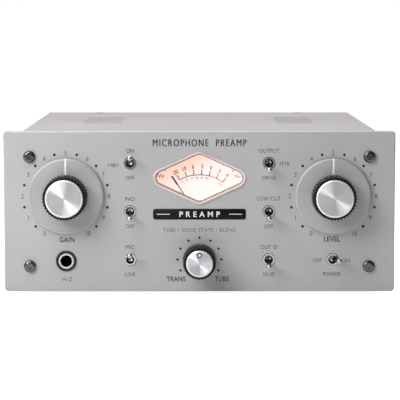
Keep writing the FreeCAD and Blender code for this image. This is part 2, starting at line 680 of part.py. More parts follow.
def rear_panel():
    """Rear plate with a flange at its top, bent forward under the cover."""
    front = REAR_Y - REAR_T
    plate = box((-TRAY_HALF_W, TRAY_HALF_W), (front, REAR_Y), (FOOT_H, SHEET_TOP))
    plate = round_edges(plate, COVER_BEND_R - SHEET_GAP, lambda edge: runs_along(edge, 1)
                        and lies_at(edge, 2, SHEET_TOP))
    flange_half = TRAY_HALF_W - COVER_BEND_R
    flange = box((-flange_half, flange_half), (front - UPPER_FLANGE_D, REAR_Y),
                 (SHEET_TOP - TRAY_T, SHEET_TOP))
    rear = plate.fuse(flange).removeSplitter()
    through = (front - 1, REAR_Y + 1)
    tools = []
    for x, y in flush_screw_places():
        tools.append(rod_z(M3_R + THREAD_GAP, (SHEET_TOP - TRAY_T - 1, SHEET_TOP + 1), x, y))
    for x in rear_screw_places():
        tools.append(rod_y(M3_R + SCREW_GAP, through, x, REAR_SCREW_Z))
    for x, z in xlr_places():
        tools.append(rod_y(XLR_BARREL_R + SHEET_GAP, through, x, z))
    for x, z in xlr_places()[:2]:
        tools.append(latch_span(x, z, LATCH_GAP))
    for x, z in xlr_screw_places():
        tools.append(rod_y(M3_R + THREAD_GAP, through, x, z))
    half_w = INLET_BODY_W / 2 + SHEET_GAP
    half_h = INLET_BODY_H / 2 + SHEET_GAP
    middle = PANEL_Z + INLET_Z
    tools.append(box((INLET_X - half_w, INLET_X + half_w), through, (middle - half_h, middle + half_h)))
    return cut_all(rear, tools)


def case_screws():
    screw = button_screw(CASE_HEAD_R, CASE_HEAD_H, CASE_HEX_AF, CASE_HEX_DEPTH, M3_R, CASE_SCREW_L)
    screws = []
    for y, z in side_screw_places():
        screws.append(placed(screw, (-CASE_HALF_W, y, z), (1, 0, 0)))
        screws.append(placed(screw, (CASE_HALF_W, y, z), (-1, 0, 0)))
    for x in rear_screw_places():
        screws.append(placed(screw, (x, REAR_Y, REAR_SCREW_Z), (0, -1, 0)))
    return screws


def rubber_feet():
    feet = []
    for x, y in foot_places():
        foot = Part.makeCone(FOOT_R - FOOT_TAPER, FOOT_R, FOOT_H, Vector(x, y, 0))
        foot = round_edges(foot, FOOT_EDGE_R, lambda edge: lies_at(edge, 2, 0))
        recess = rod_z(FOOT_RECESS_R, (-1, FOOT_RECESS_H), x, y)
        feet.append(foot.cut([recess, rod_z(M3_R + SCREW_GAP, (0, FOOT_H + 1), x, y)]))
    return feet


def foot_screws():
    screws = []
    for x, y in foot_places():
        head = rod_z(CASE_HEAD_R, (FOOT_RECESS_H - FOOT_HEAD_H, FOOT_RECESS_H), x, y)
        shank = rod_z(M3_R, (FOOT_RECESS_H, FLOOR_Z + FOOT_SCREW_TAIL), x, y)
        slot = box((x - CASE_HEAD_R, x + CASE_HEAD_R), (y - 0.4, y + 0.4),
                   (0, FOOT_RECESS_H - FOOT_HEAD_H / 2))
        screws.append(head.fuse(shank).removeSplitter().cut(slot))
    return screws


# ---------------------------------------------------------------- potentiometers and knobs
def potentiometers():
    bodies = []
    back = WALL_BACK_Y + POT_DEPTH
    pin_span = (back - TERMINAL_W, CONTROL_BOARD_Y)
    bore_span = (POT_BUSHING_END - 1, WALL_BACK_Y + SHAFT_TAIL + SHAFT_END_GAP)
    for x, z in KNOB_AXES.values():
        z += PANEL_Z
        body = rod_y(POT_R, (WALL_BACK_Y, back), x, z)
        parts = [rod_y(POT_BUSHING_R, (POT_BUSHING_END, WALL_BACK_Y), x, z)]
        for side in (-1, 0, 1):
            parts.append(pin_block(x + side * TERMINAL_PITCH, z - TERMINAL_DROP, pin_span))
        bore = rod_y(SHAFT_R + SHAFT_GAP, bore_span, x, z)
        bodies.append(body.fuse(parts).removeSplitter().cut(bore))
    return bodies


def pin_block(x, z, y):
    """A square terminal pin along Y."""
    half = TERMINAL_W / 2
    return box((x - half, x + half), y, (z - half, z + half))


def hex_nut(across_flats, bore_r, x, z):
    span = (WALL_Y - NUT_T, WALL_Y)
    return hex_prism_y(across_flats, span, x, z).cut(rod_y(bore_r + NUT_GAP, span, x, z))


def control_nuts():
    """The nuts that hold the controls to the chassis wall, hidden behind the front panel."""
    nuts = [hex_nut(POT_NUT_AF, POT_BUSHING_R, x, PANEL_Z + z) for x, z in KNOB_AXES.values()]
    nuts += [hex_nut(SWITCH_NUT_AF, BUSHING_R, x, PANEL_Z + z) for x, z, _ in SWITCHES.values()]
    nuts.append(hex_nut(JACK_NUT_AF, JACK_BUSHING_R, -DIAL_X, PANEL_Z + JACK_Z))
    return nuts


def fluted_wire(count, radius, depth, x, y, z):
    """A closed outline of narrow ridges and round flutes, at one place along Y."""
    pitch = 2 * math.pi / count
    ridge = pitch * 0.17

    def at(r, angle):
        return Vector(x + r * math.cos(angle), y, z + r * math.sin(angle))

    edges = []
    for k in range(count):
        middle = k * pitch
        edges.append(Part.Arc(at(radius, middle - ridge), at(radius, middle), at(radius, middle + ridge)))
        edges.append(Part.Arc(at(radius, middle + ridge), at(radius - depth, middle + pitch / 2),
                              at(radius, middle + pitch - ridge)))
    return Part.Wire([edge.toShape() for edge in edges])


def grip(axis, foot_y, height, foot_r, front_r, flutes, depth, cap_r):
    """A tapered fluted grip with a seat for its cap, a shaft bore and a set-screw hole."""
    x, z = axis
    front_y = foot_y - height
    body = Part.makeLoft([fluted_wire(flutes, foot_r, depth, x, foot_y, z),
                          fluted_wire(flutes, front_r, depth, x, front_y, z)], True, True)
    rim_r = front_r - GRIP_EDGE
    blank = revolve_y([(0, foot_y), (foot_r + 1, foot_y), (front_r + GRIP_EDGE, front_y + 2 * GRIP_EDGE),
                       (rim_r, front_y), (0, front_y)], x, z)
    body = body.common(blank)
    seat = rod_y(cap_r + CAP_GAP, (front_y - 1, front_y + CAP_T - CAP_PROUD), x, z)
    bore = rod_y(SHAFT_R + KNOB_BORE_GAP, (foot_y - SHAFT_IN_KNOB, foot_y + 1), x, z)
    screw_hole = rod_z(M3_R + THREAD_GAP, (z - foot_r - 2, z), x, foot_y - SET_SCREW_HEIGHT)
    return body.cut([seat, bore, screw_hole])


def set_screw(axis, foot_y):
    x, z = axis
    start = z - SHAFT_R - KNOB_BORE_GAP
    screw = rod_z(M3_R, (start - SET_SCREW_L, start), x, foot_y - SET_SCREW_HEIGHT)
    return screw


def cap(axis, front_y, radius):
    """A turned cap with a bevelled rim, standing proud of the grip."""
    x, z = axis
    face_y = front_y - CAP_PROUD
    return revolve_y([(0, face_y), (radius - CAP_EDGE, face_y), (radius, face_y + CAP_EDGE),
                      (radius, face_y + CAP_T), (0, face_y + CAP_T)], x, z)


def skirt(axis):
    """A thin dished disc: flat in the middle, bevelled at the rim, open underneath."""
    x, z = axis
    rim_y = FRONT_Y - SKIRT_GAP
    flat_y = rim_y - SKIRT_RISE
    bevel_r = SKIRT_R - SKIRT_BEVEL
    hub_r = SHAFT_R + KNOB_BORE_GAP
    outline = [(hub_r, flat_y - SKIRT_T), (bevel_r, flat_y - SKIRT_T), (SKIRT_R - 0.3, rim_y - SKIRT_T + 0.1),
               (SKIRT_R, rim_y - SKIRT_T + 0.4), (SKIRT_R, rim_y), (SKIRT_R - SKIRT_T, rim_y),
               (bevel_r - 0.3, flat_y), (hub_r, flat_y)]
    return revolve_y(outline, x, z)


def shaft(axis, foot_y):
    x, z = axis
    return rod_y(SHAFT_R, (foot_y - SHAFT_IN_KNOB, WALL_BACK_Y + SHAFT_TAIL), x, z)


def knob_nodes():
    nodes = {}
    large_foot = FRONT_Y - SKIRT_GAP - SKIRT_RISE - SKIRT_T
    for name in ("gain", "level"):
        x, z = KNOB_AXES[name]
        axis = (x, PANEL_Z + z)
        nodes[f"{name}_knob_grip"] = grip(axis, large_foot, GRIP_H, GRIP_R, GRIP_FRONT_R, GRIP_FLUTES,
                                          GRIP_FLUTE_DEPTH, CAP_R)
        nodes[f"{name}_knob_cap"] = cap(axis, large_foot - GRIP_H, CAP_R)
        nodes[f"{name}_knob_skirt"] = skirt(axis)
        nodes[f"{name}_shaft"] = shaft(axis, large_foot)
        nodes[f"{name}_set_screw"] = set_screw(axis, large_foot)
    x, z = KNOB_AXES["blend"]
    axis = (x, PANEL_Z + z)
    foot = FRONT_Y - BLEND_GAP
    nodes["blend_knob_grip"] = grip(axis, foot, BLEND_H, BLEND_GRIP_R, BLEND_FRONT_R, BLEND_FLUTES,
                                    BLEND_FLUTE_DEPTH, BLEND_CAP_R)
    ball_r = (DIMPLE_R ** 2 + DIMPLE_DEPTH ** 2) / (2 * DIMPLE_DEPTH)
    face_y = foot - BLEND_H - CAP_PROUD
    dimple = Part.makeSphere(ball_r, Vector(x, face_y - ball_r + DIMPLE_DEPTH, axis[1] + DIMPLE_PLACE))
    nodes["blend_knob_cap"] = cap(axis, foot - BLEND_H, BLEND_CAP_R).cut(dimple)
    nodes["blend_shaft"] = shaft(axis, foot)
    nodes["blend_set_screw"] = set_screw(axis, foot)
    return nodes


# ---------------------------------------------------------------- toggle switches
def switch_bushings():
    span = (FRONT_Y - BUSHING_PROUD, WALL_BACK_Y)
    bushings = []
    for x, z, _ in SWITCHES.values():
        tube = ring_y(BUSHING_R, BUSHING_MOUTH_R, span, x, PANEL_Z + z)
        bushings.append(tube)
    return bushings


def switch_bodies():
    bodies = []
    back = WALL_BACK_Y + SWITCH_DEPTH
    pin_span = (back - TERMINAL_W, CONTROL_BOARD_Y)
    for x, z, rest in SWITCHES.values():
        z += PANEL_Z
        across = rest == "right"
        half_x, half_z = (SWITCH_L / 2, SWITCH_W / 2) if across else (SWITCH_W / 2, SWITCH_L / 2)
        body = box((x - half_x, x + half_x), (WALL_BACK_Y, back), (z - half_z, z + half_z))
        body = round_edges(body, SWITCH_EDGE_R, lambda edge: runs_along(edge, 1))
        pins = []
        for k in (-1, 0, 1):
            step = SWITCH_PIN_PITCH * k
            pins.append(pin_block(x + step * across, z + step * (not across), pin_span))
        bodies.append(body.fuse(pins).removeSplitter())
    return bodies


def lever(x, z, rest):
    """A bat lever with its pivot ball, tilted to where it rests."""
    pivot = Vector(x, FRONT_Y - BUSHING_PROUD + PIVOT_DEPTH, PANEL_Z + z)
    forward = Vector(0, -1, 0)
    tip_centre = BAT_L - BAT_R
    ball = Part.makeSphere(BALL_R, pivot)
    neck = Part.makeCylinder(NECK_R, NECK_L, pivot, forward)
    bat = Part.makeCone(NECK_R, BAT_R, tip_centre - NECK_L, pivot + forward * NECK_L, forward)
    tip = Part.makeSphere(BAT_R, pivot + forward * tip_centre)
    shape = ball.fuse([neck, bat, tip]).removeSplitter()
    axis, angle = {"up": (Vector(1, 0, 0), -LEVER_TILT), "down": (Vector(1, 0, 0), LEVER_TILT),
                   "right": (Vector(0, 0, 1), LEVER_TILT)}[rest]
    shape.rotate(pivot, axis, angle)
    return shape


# ---------------------------------------------------------------- instrument jack
def jack_bushing():
    x, z = -DIAL_X, PANEL_Z + JACK_Z
    mouth = FRONT_Y - JACK_PROUD
    tube = revolve_y([(JACK_BORE_R, mouth), (JACK_BUSHING_R - 0.5, mouth), (JACK_BUSHING_R, mouth + 0.5),
                      (JACK_BUSHING_R, WALL_BACK_Y), (JACK_BORE_R, WALL_BACK_Y)], x, z)
    return tube


def jack_body():
    x, z = -DIAL_X, PANEL_Z + JACK_Z
    half = JACK_BODY_W / 2
    low = z - JACK_BODY_H / 2
    body = box((x - half, x + half), (WALL_BACK_Y, WALL_BACK_Y + JACK_BODY_L), (low, low + JACK_BODY_H))
    cavity = rod_y(JACK_CAVITY_R, (WALL_BACK_Y - 1, WALL_BACK_Y + JACK_BODY_L - JACK_WALL), x, z)
    return body.cut(cavity)


# ---------------------------------------------------------------- meter
def meter_flange_span():
    """Front and back of the lens flange, behind the front panel."""
    return PANEL_BACK_Y, PANEL_BACK_Y + LENS_FLANGE_T


def meter_housing():
    front = meter_flange_span()[1]
    low = WINDOW_Z - METER_BELOW
    high = WINDOW_Z + METER_ABOVE
    outer = box((-METER_HALF_W, METER_HALF_W), (front, front + METER_DEPTH), (low, high))
    wall = METER_WALL
    inner = box((-METER_HALF_W + wall, METER_HALF_W - wall), (front - 1, front + METER_DEPTH - wall),
                (low + wall, high - wall))
    return outer.cut(inner)


def meter_lens():
    """A clear lozenge cup that fills the panel's window, on a flange in front of the housing."""
    front, back = meter_flange_span()
    cup = lozenge(0, (FRONT_Y - LENS_PROUD, back))
    cup = round_edges(cup, LENS_EDGE_R, lambda edge: lies_at(edge, 1, FRONT_Y - LENS_PROUD))
    flange = box((-METER_HALF_W, METER_HALF_W), (front, back),
                 (WINDOW_Z - METER_BELOW, WINDOW_Z + METER_ABOVE))
    hollow = lozenge(-LENS_WALL, (FRONT_Y - LENS_PROUD + LENS_FRONT_T, back + 1))
    return cup.fuse(flange).removeSplitter().cut(hollow)


def meter_dial():
    face = FRONT_Y + DIAL_PLATE_DEPTH
    half = METER_HALF_W - METER_WALL
    return box((-half, half), (face, dial_back()),
               (WINDOW_Z - DIAL_PLATE_BELOW, WINDOW_Z + METER_ABOVE - METER_WALL))


def dial_back():
    return FRONT_Y + DIAL_PLATE_DEPTH + DIAL_PLATE_T


def housing_floor():
    """The inner face of the meter housing's back."""
    return meter_flange_span()[1] + METER_DEPTH - METER_WALL


def meter_movement():
    """The magnet block with the needle's bearing in front and its post to the housing's back."""
    z = WINDOW_Z - PIVOT_BELOW
    low = WINDOW_Z - METER_BELOW + METER_WALL
    front = dial_back() + MOVEMENT_GAP
    magnet = rod_y(MOVEMENT_R, (front, front + MOVEMENT_L), 0, z)
    post = rod_y(MOVEMENT_POST_R, (front + MOVEMENT_L, housing_floor()), 0, z)
    inside = box((-MOVEMENT_R, MOVEMENT_R), (front, housing_floor()), (low, z + MOVEMENT_R))
    bearing = rod_y(HUB_R + HUB_GAP, (front - 1, front + BEARING_DEPTH), 0, z)
    return magnet.fuse(post).removeSplitter().common(inside).cut(bearing)


def meter_lamps():
    front = dial_back() + LAMP_GAP
    z = WINDOW_Z + METER_ABOVE - METER_WALL - LAMP_DROP
    lamps = []
    for x in mirrored_x([LAMP_X]):
        holder = rod_y(LAMP_HOLDER_R, (front + LAMP_L, housing_floor()), x, z)
        bulb = rod_y(LAMP_R, (front, front + LAMP_L), x, z)
        bulb = round_edges(bulb, LAMP_R * 0.9, lambda edge: lies_at(edge, 1, front))
        lamps.append(holder.fuse(bulb).removeSplitter())
    return lamps


def meter_needle():
    """A thin pointer with a broad tip, on a hub that turns in the movement."""
    z = WINDOW_Z - PIVOT_BELOW
    back = FRONT_Y + DIAL_PLATE_DEPTH - NEEDLE_CLEAR
    front = back - NEEDLE_T
    wide = NEEDLE_TIP_W / 2
    stem = NEEDLE_STEM_W / 2
    tip = z + NEEDLE_L
    step = tip - NEEDLE_TIP_L
    right = [(stem, z - NEEDLE_TAIL), (stem, step), (wide, step + wide), (wide, tip - wide), (0, tip)]
    left = [(-px, pz) for px, pz in reversed(right[:-1])]
    points = [Vector(px, front, pz) for px, pz in right + left]
    blade = Part.Face(Part.makePolygon(points + points[:1])).extrude(Vector(0, NEEDLE_T, 0))
    hub = rod_y(HUB_R, (front, dial_back() + MOVEMENT_GAP + HUB_SEAT), 0, z)
    needle = blade.fuse(hub).removeSplitter()
    needle.rotate(Vector(0, front, z), Vector(0, 1, 0), -NEEDLE_REST)
    return needle


# ---------------------------------------------------------------- inside
def main_board():
    board = box((-BOARD_HALF_W, BOARD_HALF_W), (BOARD_FRONT_Y, BOARD_REAR_Y), (BOARD_Z, BOARD_TOP))
    through = (BOARD_Z - 1, BOARD_TOP + 1)
    return board.cut([rod_z(M3_R + SCREW_GAP, through, x, y) for x, y in board_post_places()])


def board_screws():
    screw = button_screw(CASE_HEAD_R, CASE_HEAD_H, CASE_HEX_AF, CASE_HEX_DEPTH, M3_R, BOARD_SCREW_L)
    return [placed(screw, (x, y, BOARD_TOP), (0, 0, -1)) for x, y in board_post_places()]


def control_board():
    low = FLOOR_Z + CONTROL_BOARD_MARGIN_Z
    high = CASE_TOP - CONTROL_BOARD_MARGIN_Z
    span = (CONTROL_BOARD_Y, CONTROL_BOARD_Y + BOARD_T)
    board_half = TRAY_INNER_HALF_W - CONTROL_BOARD_SIDE_GAP
    board = box((-board_half, board_half), span, (low, high))
    through = (span[0] - 1, span[1] + 1)
    half_w = METER_HALF_W + METER_GAP
    meter = box((-half_w, half_w), through, (WINDOW_Z - METER_BELOW - METER_GAP, high + 1))
    half_w = JACK_BODY_W / 2 + METER_GAP
    jack_top = PANEL_Z + JACK_Z + JACK_BODY_H / 2 + METER_GAP
    jack = box((-DIAL_X - half_w, -DIAL_X + half_w), through, (low - 1, jack_top))
    return board.cut([meter, jack])


def tube_socket():
    y = BOARD_FRONT_Y + TUBE_INSET
    ring = rod_z(SOCKET_R, (BOARD_TOP, BOARD_TOP + SOCKET_H), TUBE_X, y)
    return ring.cut(rod_z(TUBE_R + 0.2, (BOARD_TOP + SOCKET_H - 4.0, BOARD_TOP + SOCKET_H + 1), TUBE_X, y))


def vacuum_tube():
    """A miniature glass tube with a domed top and its pip."""
    y = BOARD_FRONT_Y + TUBE_INSET
    low = BOARD_TOP + SOCKET_H - 4.0
    glass = rod_z(TUBE_R, (low, low + TUBE_H), TUBE_X, y)
    glass = round_edges(glass, TUBE_R * 0.6, lambda edge: lies_at(edge, 2, low + TUBE_H))
    pip = Part.makeCone(TUBE_PIP_R, 0.6, TUBE_PIP_H, Vector(TUBE_X, y, low + TUBE_H))
    return glass.fuse(pip).removeSplitter()


def filter_capacitors():
    cans = []
    y = BOARD_REAR_Y - CAPACITOR_INSET
    for k in range(CAPACITORS):
        x = BOARD_HALF_W - CAPACITOR_SIDE - k * CAPACITOR_PITCH
        can = rod_z(CAPACITOR_R, (BOARD_TOP, BOARD_TOP + CAPACITOR_H), x, y)
        cans.append(round_edges(can, 1.0, lambda edge: lies_at(edge, 2, BOARD_TOP + CAPACITOR_H)))
    return cans


def heat_sink():
    y = BOARD_REAR_Y - SINK_INSET
    left = -BOARD_HALF_W + SINK_SIDE - SINK_W / 2
    height = (BOARD_TOP, BOARD_TOP + SINK_H)
    base = box((left, left + SINK_W), (y, y + SINK_FIN), height)
    fins = []
    for k in range(SINK_FINS):
        x = left + k * (SINK_W - SINK_FIN) / (SINK_FINS - 1)
        fins.append(box((x, x + SINK_FIN), (y, y + SINK_DEPTH), height))
    return base.fuse(fins).removeSplitter()


def power_transformer():
    x, y = CORE_X, CORE_Y
    core = rod_z(CORE_R, (FLOOR_Z, FLOOR_Z + CORE_H), x, y)
    for height in (FLOOR_Z, FLOOR_Z + CORE_H):
        core = round_edges(core, CORE_EDGE_R, lambda edge: lies_at(edge, 2, height))
    return core.cut(rod_z(CORE_HOLE_R, (FLOOR_Z - 1, FLOOR_Z + CORE_H + 1), x, y))


def transformer_clamp():
    x, y = CORE_X, CORE_Y
    top = FLOOR_Z + CORE_H
    disc = rod_z(CLAMP_R, (top, top + CLAMP_T), x, y)
    bolt = rod_z(CLAMP_BOLT_R, (FOOT_H, top + CLAMP_T), x, y)
    head = rod_z(CLAMP_BOLT_R * 1.8, (top + CLAMP_T, top + CLAMP_T + 3.0), x, y)
    return disc.fuse([bolt, head]).removeSplitter()


# ---------------------------------------------------------------- rear connectors
def xlr_mouth_y():
    return REAR_Y + XLR_FLANGE_T


def xlr_pin_places(x, z, count=3):
    for k in range(count):
        angle = math.radians(90 + 120 * k)
        yield x + XLR_PIN_CIRCLE * math.cos(angle), z - XLR_PIN_CIRCLE * math.sin(angle)


def latch_span(x, z, gap):
    """A connector's latch tab, or its slot when gap is above zero."""
    mouth = xlr_mouth_y()
    back = mouth - LATCH_L + LATCH_PROUD
    extra = LATCH_TRAVEL + gap if gap else 0.0
    return box((x - LATCH_W / 2 - gap, x + LATCH_W / 2 + gap), (back - extra, mouth + LATCH_PROUD + gap),
               (z + LATCH_LOW - gap, z + LATCH_LOW + LATCH_H + gap))


def xlr_shells():
    mouth = xlr_mouth_y()
    shells = []
    for k, (x, z) in enumerate(xlr_places()):
        flange = box((x - XLR_FLANGE_W / 2, x + XLR_FLANGE_W / 2), (REAR_Y, mouth),
                     (z - XLR_FLANGE_H / 2, z + XLR_FLANGE_H / 2))
        flange = round_edges(flange, XLR_FLANGE_R, lambda edge: runs_along(edge, 1))
        flange = round_edges(flange, 0.5, lambda edge: lies_at(edge, 1, mouth))
        shell = flange.fuse(rod_y(XLR_BARREL_R, (mouth - XLR_BARREL_L, REAR_Y), x, z)).removeSplitter()
        male = k == 2
        tools = [rod_y(XLR_MALE_R if male else XLR_FEMALE_R, (mouth - XLR_DEPTH, mouth + 1), x, z)]
        for sx, sz in ((-XLR_SCREW_X, XLR_SCREW_Z), (XLR_SCREW_X, -XLR_SCREW_Z)):
            tools.append(rod_y(M3_R + SCREW_GAP, (REAR_Y - 1, mouth + 1), x + sx, z + sz))
        if not male:
            tools.append(latch_span(x, z, LATCH_GAP))
        shells.append(shell.cut(tools))
    return shells


def xlr_inserts():
    floor = xlr_mouth_y() - XLR_DEPTH
    inserts = []
    for k, (x, z) in enumerate(xlr_places()):
        male = k == 2
        radius = XLR_MALE_R - XLR_PIN_GAP if male else XLR_CORE_R
        length = XLR_MALE_CORE_L if male else XLR_CORE_L
        core = rod_y(radius, (floor, floor + length), x, z)
        span = (floor + XLR_PIN_SEAT, floor + length + 1)
        holes = [rod_y(XLR_PIN_R + XLR_PIN_GAP, span, px, pz) for px, pz in xlr_pin_places(x, z)]
        inserts.append(core.cut(holes))
    return inserts


def xlr_contacts():
    floor = xlr_mouth_y() - XLR_DEPTH
    contacts = []
    for k, (x, z) in enumerate(xlr_places()):
        male = k == 2
        for px, pz in xlr_pin_places(x, z):
            if male:
                end = floor + XLR_MALE_CORE_L + XLR_PIN_L
                pin = rod_y(XLR_PIN_R, (floor + XLR_PIN_SEAT, end), px, pz)
                contacts.append(round_edges(pin, XLR_PIN_R * 0.6, lambda edge: lies_at(edge, 1, end)))
            else:
                span = (floor + XLR_PIN_SEAT, floor + XLR_CORE_L - 0.5)
                contacts.append(ring_y(XLR_PIN_R, XLR_PIN_R * 0.7, span, px, pz))
    return contacts


def connector_screws():
    mouth = xlr_mouth_y()
    screws = []
    for x, z in xlr_screw_places():
        head = rod_y(XLR_SCREW_R, (mouth, mouth + XLR_SCREW_HEAD), x, z)
        head = round_edges(head, 0.5, lambda edge: lies_at(edge, 1, mouth + XLR_SCREW_HEAD))
        screw = head.fuse(rod_y(M3_R, (mouth - XLR_SCREW_L, mouth), x, z)).removeSplitter()
        cross = [box((x - 1.3, x + 1.3), (mouth + 0.5, mouth + 2), (z - 0.3, z + 0.3)),
                 box((x - 0.3, x + 0.3), (mouth + 0.5, mouth + 2), (z - 1.3, z + 1.3))]
        screws.append(screw.cut(cross))
    return screws


def inlet_pocket(z):
    """The plug's pocket: a block with its two upper corners cut off."""
    half = INLET_POCKET_W / 2
    low = z - INLET_POCKET_H / 2
    high = z + INLET_POCKET_H / 2
    front = REAR_Y + INLET_FLANGE_T + 1
    back = REAR_Y + INLET_FLANGE_T - INLET_POCKET_D
    outline = [(-half, low), (half, low), (half, high - INLET_CHAMFER), (half - INLET_CHAMFER, high),
               (-half + INLET_CHAMFER, high), (-half, high - INLET_CHAMFER)]
    points = [Vector(INLET_X + px, back, pz) for px, pz in outline]
    return Part.Face(Part.makePolygon(points + points[:1])).extrude(Vector(0, front - back, 0))


def about_inlet(half_w, y, z, half_h):
    """A block centred on the inlet's axis sideways and on z upwards."""
    return box((INLET_X - half_w, INLET_X + half_w), y, (z - half_h, z + half_h))


def drawer_box(gap):
    z = PANEL_Z + INLET_Z - DRAWER_DOWN
    front = REAR_Y + INLET_FLANGE_T
    return about_inlet(DRAWER_W / 2 + gap, (front - DRAWER_L - gap, front + gap), z, DRAWER_H / 2 + gap)


def power_inlet():
    middle = PANEL_Z + INLET_Z
    front = REAR_Y + INLET_FLANGE_T
    flange = about_inlet(INLET_W / 2, (REAR_Y, front), middle, INLET_H / 2)
    flange = round_edges(flange, INLET_CORNER_R, lambda edge: runs_along(edge, 1))
    flange = round_edges(flange, INLET_EDGE_R, lambda edge: lies_at(edge, 1, front))
    body = about_inlet(INLET_BODY_W / 2, (REAR_Y - INLET_BODY_L, REAR_Y), middle, INLET_BODY_H / 2)
    hollows = [inlet_pocket(middle + INLET_POCKET_UP), drawer_box(DRAWER_GAP)]
    return flange.fuse(body).removeSplitter().cut(hollows)


def inlet_blades():
    floor = REAR_Y + INLET_FLANGE_T - INLET_POCKET_D
    z = PANEL_Z + INLET_Z + INLET_POCKET_UP
    blades = []
    for dx, dz in ((-BLADE_X, 0), (BLADE_X, 0), (0, EARTH_UP)):
        blade = box((INLET_X + dx - BLADE_W / 2, INLET_X + dx + BLADE_W / 2), (floor, floor + BLADE_L),
                    (z + dz - BLADE_H / 2, z + dz + BLADE_H / 2))
        blades.append(round_edges(blade, 0.6, lambda edge: lies_at(edge, 1, floor + BLADE_L)))
    return blades


def fuse_drawer():
    """A drawer with a bay for the fuse, and a finger lip on its front."""
    front = REAR_Y + INLET_FLANGE_T
    z = PANEL_Z + INLET_Z - DRAWER_DOWN
    half_w = DRAWER_W / 2
    half_h = DRAWER_H / 2
    wall = DRAWER_WALL
    plate = about_inlet(half_w, (front, front + DRAWER_PROUD / 2), z, half_h)
    lip = about_inlet(half_w / 2, (front, front + DRAWER_PROUD), z, DRAWER_LIP / 2)
    bay = about_inlet(half_w - wall, (front - DRAWER_L + wall, front - DRAWER_FRONT_T), z + wall, half_h)
    return drawer_box(0).fuse([plate, lip]).removeSplitter().cut(bay)


# ---------------------------------------------------------------- all nodes
def build():
    nodes = {
        "front_panel": front_panel(),
        "panel_screws": panel_screws(),
        "chassis_tray": chassis_tray(),
        "top_cover": top_cover(),
        "rear_panel": rear_panel(),
        "case_screws": case_screws(),
        "flush_screws": flush_screws(),
        "rubber_feet": rubber_feet(),
        "foot_screws": foot_screws(),
        "potentiometers": potentiometers(),
        "control_nuts": control_nuts(),
        "switch_bushings": switch_bushings(),
        "switch_bodies": switch_bodies(),
        "jack_bushing": jack_bushing(),
        "jack_body": jack_body(),
        "meter_housing": meter_housing(),
        "meter_lens": meter_lens(),
        "meter_dial": meter_dial(),
        "meter_movement": meter_movement(),
        "meter_lamps": meter_lamps(),
        "meter_needle": meter_needle(),
        "main_board": main_board(),
        "board_screws": board_screws(),
        "control_board": control_board(),
        "tube_socket": tube_socket(),
        "vacuum_tube": vacuum_tube(),
        "filter_capacitors": filter_capacitors(),
        "heat_sink": heat_sink(),
        "power_transformer": power_transformer(),
        "transformer_clamp": transformer_clamp(),
        "xlr_shells": xlr_shells(),
        "xlr_inserts": xlr_inserts(),
        "xlr_contacts": xlr_contacts(),
        "connector_screws": connector_screws(),
        "power_inlet": power_inlet(),
        "inlet_blades": inlet_blades(),
        "fuse_drawer": fuse_drawer(),
    }
    nodes.update(knob_nodes())
    for name, (x, z, rest) in SWITCHES.items():
        nodes[f"{name}_lever"] = lever(x, z, rest)
    for name, (x, z) in zip(("mic_in_latch", "line_in_latch"), xlr_places()):
        nodes[name] = latch_span(x, z, 0)
    return nodes


def main():
    os.makedirs("parts", exist_ok=True)
    for name, shape in build().items():
        if isinstance(shape, list):
            shape = Part.makeCompound(shape)
        shape.exportStep(f"parts/{name}.step")


main()
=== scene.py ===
# %% [markdown]
# # A desktop microphone preamp
# A half-width silver box with a thick front panel, two big dials, a blend knob,
# seven toggle switches and a lozenge-shaped level meter that glows from inside.
# The mechanical design arrives as a fixed frame: every solid is already in its place,
# in metres, and each one belongs to a body that can turn, press or slide.
# This script adds what the eye wants: finishes, printed legends, spun metal,
# fluted grips and light. Everything new is measured from the frame, so the looks
# always sit on the real parts.

# %% Load the fixed frame
import math

import bmesh
import bpy
from mathutils import Matrix, Vector


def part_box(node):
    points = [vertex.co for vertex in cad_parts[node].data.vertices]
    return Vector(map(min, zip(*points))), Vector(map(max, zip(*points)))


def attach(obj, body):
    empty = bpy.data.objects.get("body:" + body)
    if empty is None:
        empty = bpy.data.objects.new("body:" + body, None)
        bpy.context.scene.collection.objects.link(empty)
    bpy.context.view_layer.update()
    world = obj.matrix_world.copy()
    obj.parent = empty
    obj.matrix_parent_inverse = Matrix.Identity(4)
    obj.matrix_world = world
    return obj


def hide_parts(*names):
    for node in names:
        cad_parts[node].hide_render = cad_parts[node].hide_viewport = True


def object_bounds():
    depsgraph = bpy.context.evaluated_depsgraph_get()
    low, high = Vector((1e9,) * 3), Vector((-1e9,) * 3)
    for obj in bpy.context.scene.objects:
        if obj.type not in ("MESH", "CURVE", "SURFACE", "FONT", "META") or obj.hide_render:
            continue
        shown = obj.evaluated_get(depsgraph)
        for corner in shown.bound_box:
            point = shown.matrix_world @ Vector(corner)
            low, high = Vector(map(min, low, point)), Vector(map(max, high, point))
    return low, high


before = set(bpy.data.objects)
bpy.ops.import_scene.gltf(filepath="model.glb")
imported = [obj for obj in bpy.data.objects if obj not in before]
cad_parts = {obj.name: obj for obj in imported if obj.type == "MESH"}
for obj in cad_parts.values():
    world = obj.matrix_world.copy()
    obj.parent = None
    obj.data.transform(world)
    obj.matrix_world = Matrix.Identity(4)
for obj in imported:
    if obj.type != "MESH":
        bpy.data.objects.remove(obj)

cad_low, cad_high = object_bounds()
MM = 0.001
size = (cad_high - cad_low) / MM
print("size in mm", [round(v, 1) for v in size])

# %% [markdown]
# ## Where things are
# The front panel stands upright and faces the camera, which looks along +Y. So left and
# right is X, up is Z, and a piece that stands proud of the panel has a smaller Y.
# The helpers here ask the frame for a part's middle and faces, in millimetres,
# because small hardware is easier to think about in millimetres than in metres.

# %% Measure the parts that the new pieces sit on
def low(node):
    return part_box(node)[0] / MM


def high(node):
    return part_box(node)[1] / MM


def middle(node):
    return (low(node) + high(node)) / 2


